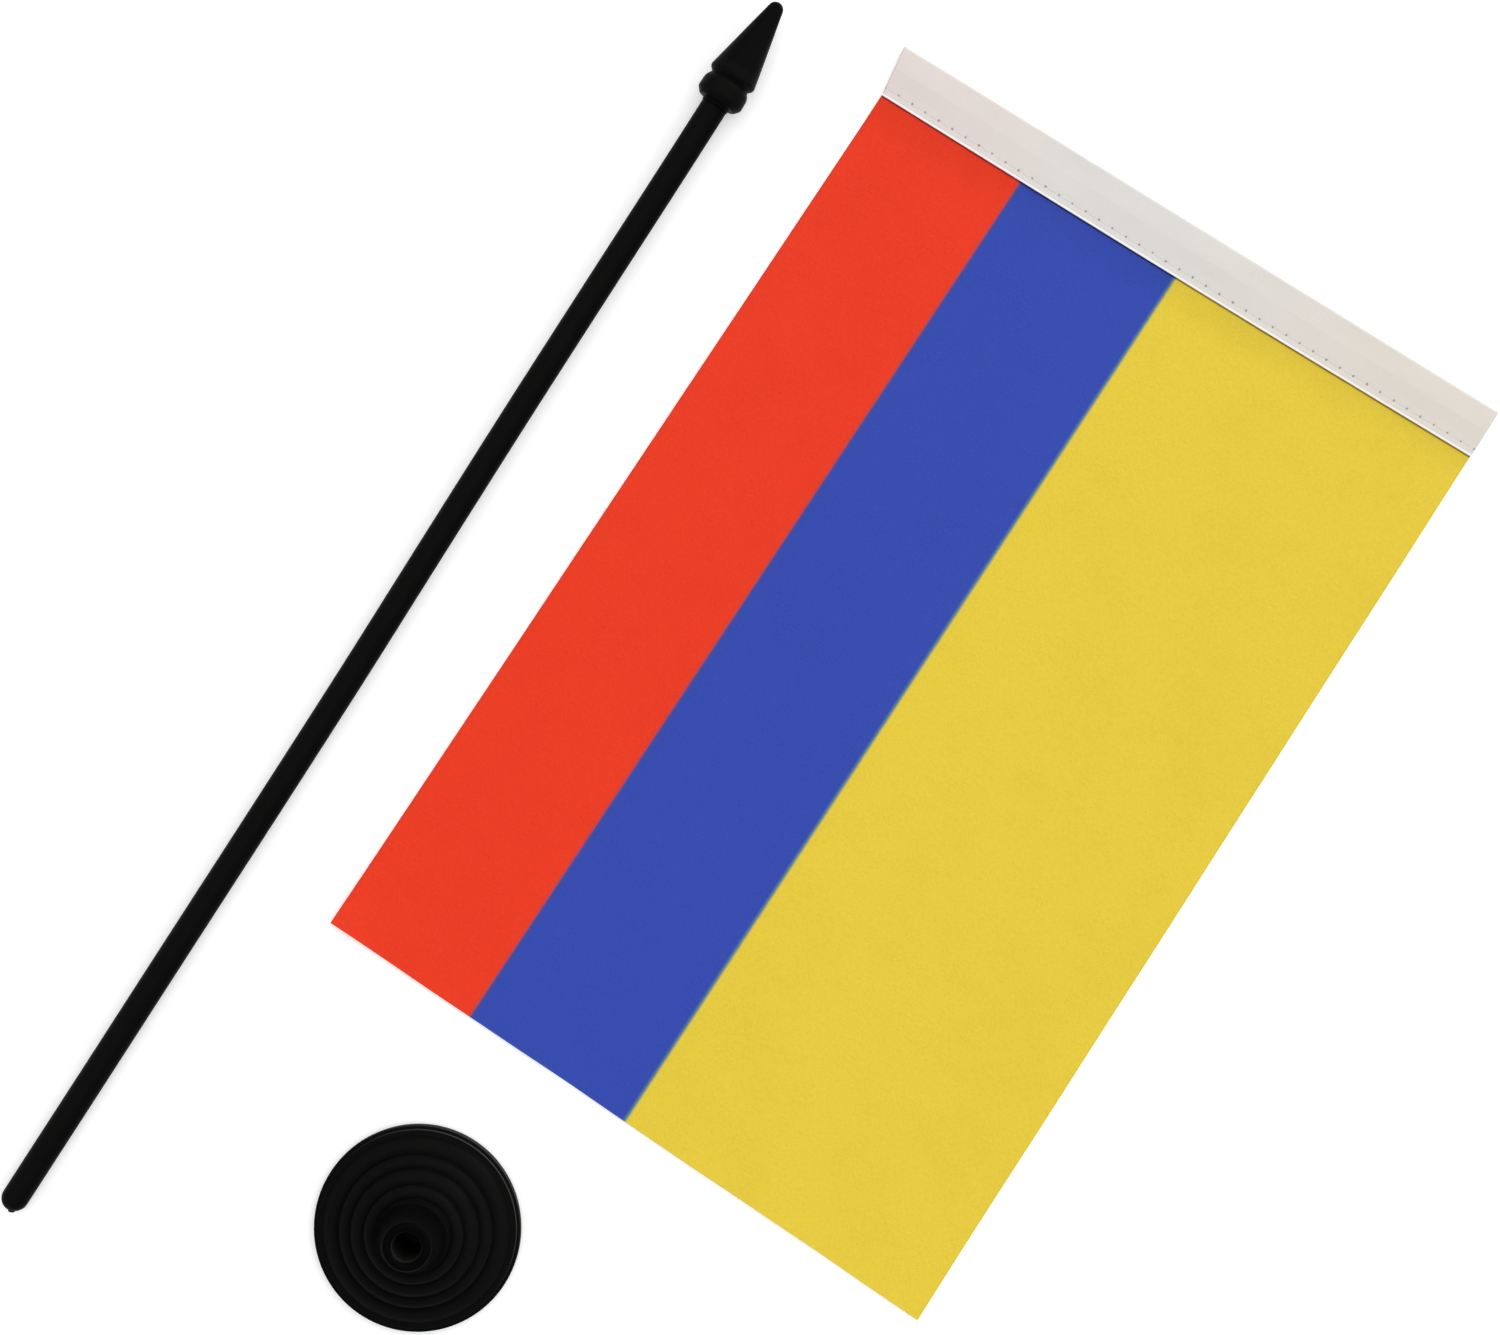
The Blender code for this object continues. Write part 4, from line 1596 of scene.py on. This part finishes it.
@dataclass
class Studio:
    """A pale table, soft light from all round with three soft suns, and an overhead camera."""

    camera_place: Vector = field(default_factory=lambda: Vector((-4.33, 129.81, 540.0)) * MM)
    picture_width: float = 300.0 * MM
    picture_right: Vector = field(default_factory=lambda: Vector((0.84265, 0.53847, 0.0)))
    sensor: float = 36.0
    clip: tuple[float, float] = (0.01, 100.0)
    table_side: float = 6.0
    table_cloud: float = 0.4
    table_shades: tuple[Colour, Colour] = ((0.93, 0.93, 0.93), (0.95, 0.95, 0.95))
    table_glow: float = 0.22
    sky: tuple[Stop, ...] = (
        (0.0, (0.80, 0.80, 0.80)),
        (0.3, (0.42, 0.42, 0.42)),
        (1.0, (0.38, 0.38, 0.38)),
    )
    suns: tuple[tuple[str, Direction, float, float], ...] = (
        ("key_light", (-0.25, -0.75, -0.95), 1.90, 100.0),
        ("fill_light", (0.40, 0.60, -0.90), 0.65, 110.0),
        ("edge_light", (-0.215, -0.977, -0.10), 0.9, 26.0),
    )

    def table(self) -> None:
        """The table top: a wide pale plane with a slow, faint mottle."""
        sheet = NodeSheet("pale_table")
        cloud = sheet.noise(sheet.place(), self.table_cloud)
        sheet.feed(sheet.shader.inputs["Base Color"], sheet.mix(cloud, *self.table_shades))
        sheet.constants(Roughness=0.9, Specular_IOR_Level=0.1, Emission_Strength=self.table_glow)
        sheet.shader.inputs["Emission Color"].default_value = (1.0, 1.0, 1.0, 1.0)
        half = self.table_side / 2
        corners = np.array([[-half, -half], [half, -half], [half, half], [-half, half]])
        points = np.concatenate([corners, np.zeros((4, 1))], axis=1)
        mesh = mesh_of("table_top", points, np.array([[0, 1, 2, 3]]))
        new_object("table_top", mesh, sheet.material)

    def world(self) -> None:
        """Light from all round: dim overhead and brighter towards the horizon, as between soft boxes."""
        world = bpy.data.worlds.new("soft_room")
        world.use_nodes = True
        tree = world.node_tree
        background = tree.nodes["Background"]
        way = tree.nodes.new("ShaderNodeTexCoord")
        split = tree.nodes.new("ShaderNodeSeparateXYZ")
        ramp = tree.nodes.new("ShaderNodeValToRGB")
        tree.links.new(way.outputs["Generated"], split.inputs[0])
        tree.links.new(split.outputs[2], ramp.inputs[0])
        tree.links.new(ramp.outputs[0], background.inputs["Color"])
        set_stops(ramp.color_ramp, self.sky)
        background.inputs["Strength"].default_value = 1.0
        bpy.context.scene.world = world

    def sun(self, name: str, towards: Direction, strength: float, softness: float) -> None:
        """One soft source so far away that it lights the whole table evenly.

        Args:
            name: The lamp's name.
            towards: The way that its light travels.
            strength: Its energy.
            softness: The angle that it fills, in degrees.
        """
        lamp = bpy.data.lights.new(name, "SUN")
        lamp.energy = strength
        lamp.angle = math.radians(softness)
        source = bpy.data.objects.new(name, lamp)
        source.rotation_mode = "QUATERNION"
        source.rotation_quaternion = Vector(towards).to_track_quat("-Z", "Y")
        bpy.context.scene.collection.objects.link(source)

    def camera(self) -> None:
        """The camera, straight above the table and turned about its own axis."""
        lens = bpy.data.cameras.new("overhead_camera")
        lens.sensor_width = self.sensor
        lens.lens = self.sensor * self.camera_place.z / self.picture_width
        lens.clip_start, lens.clip_end = self.clip
        holder = bpy.data.objects.new("overhead_camera", lens)
        right = self.picture_right.normalized()
        back = Vector((0.0, 0.0, 1.0))
        up = back.cross(right)
        turn = Matrix((right, up, back)).transposed().to_4x4()
        holder.matrix_world = Matrix.Translation(self.camera_place) @ turn
        bpy.context.scene.collection.objects.link(holder)
        bpy.context.scene.camera = holder

    def build(self) -> None:
        """Set up the table, the light and the camera."""
        bpy.context.scene.view_settings.view_transform = "Standard"
        self.table()
        self.world()
        for sun in self.suns:
            self.sun(*sun)
        self.camera()


def main() -> None:
    """Build every sub-assembly round the frame and report each piece."""
    logging.basicConfig(level=logging.INFO, format="%(name)s: %(message)s")
    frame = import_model()
    Studio().build()
    plastic = BlackPlastic().material()
    StandBase(frame["nodes"]).build(plastic, ZincSteel().material())
    FlagPole().build(plastic)
    cloths = PrintedCloth().material(), SleeveCloth().material(), SewingThread().material()
    Flag(frame["nodes"]).build(*cloths)


if __name__ == "__main__":
    main()
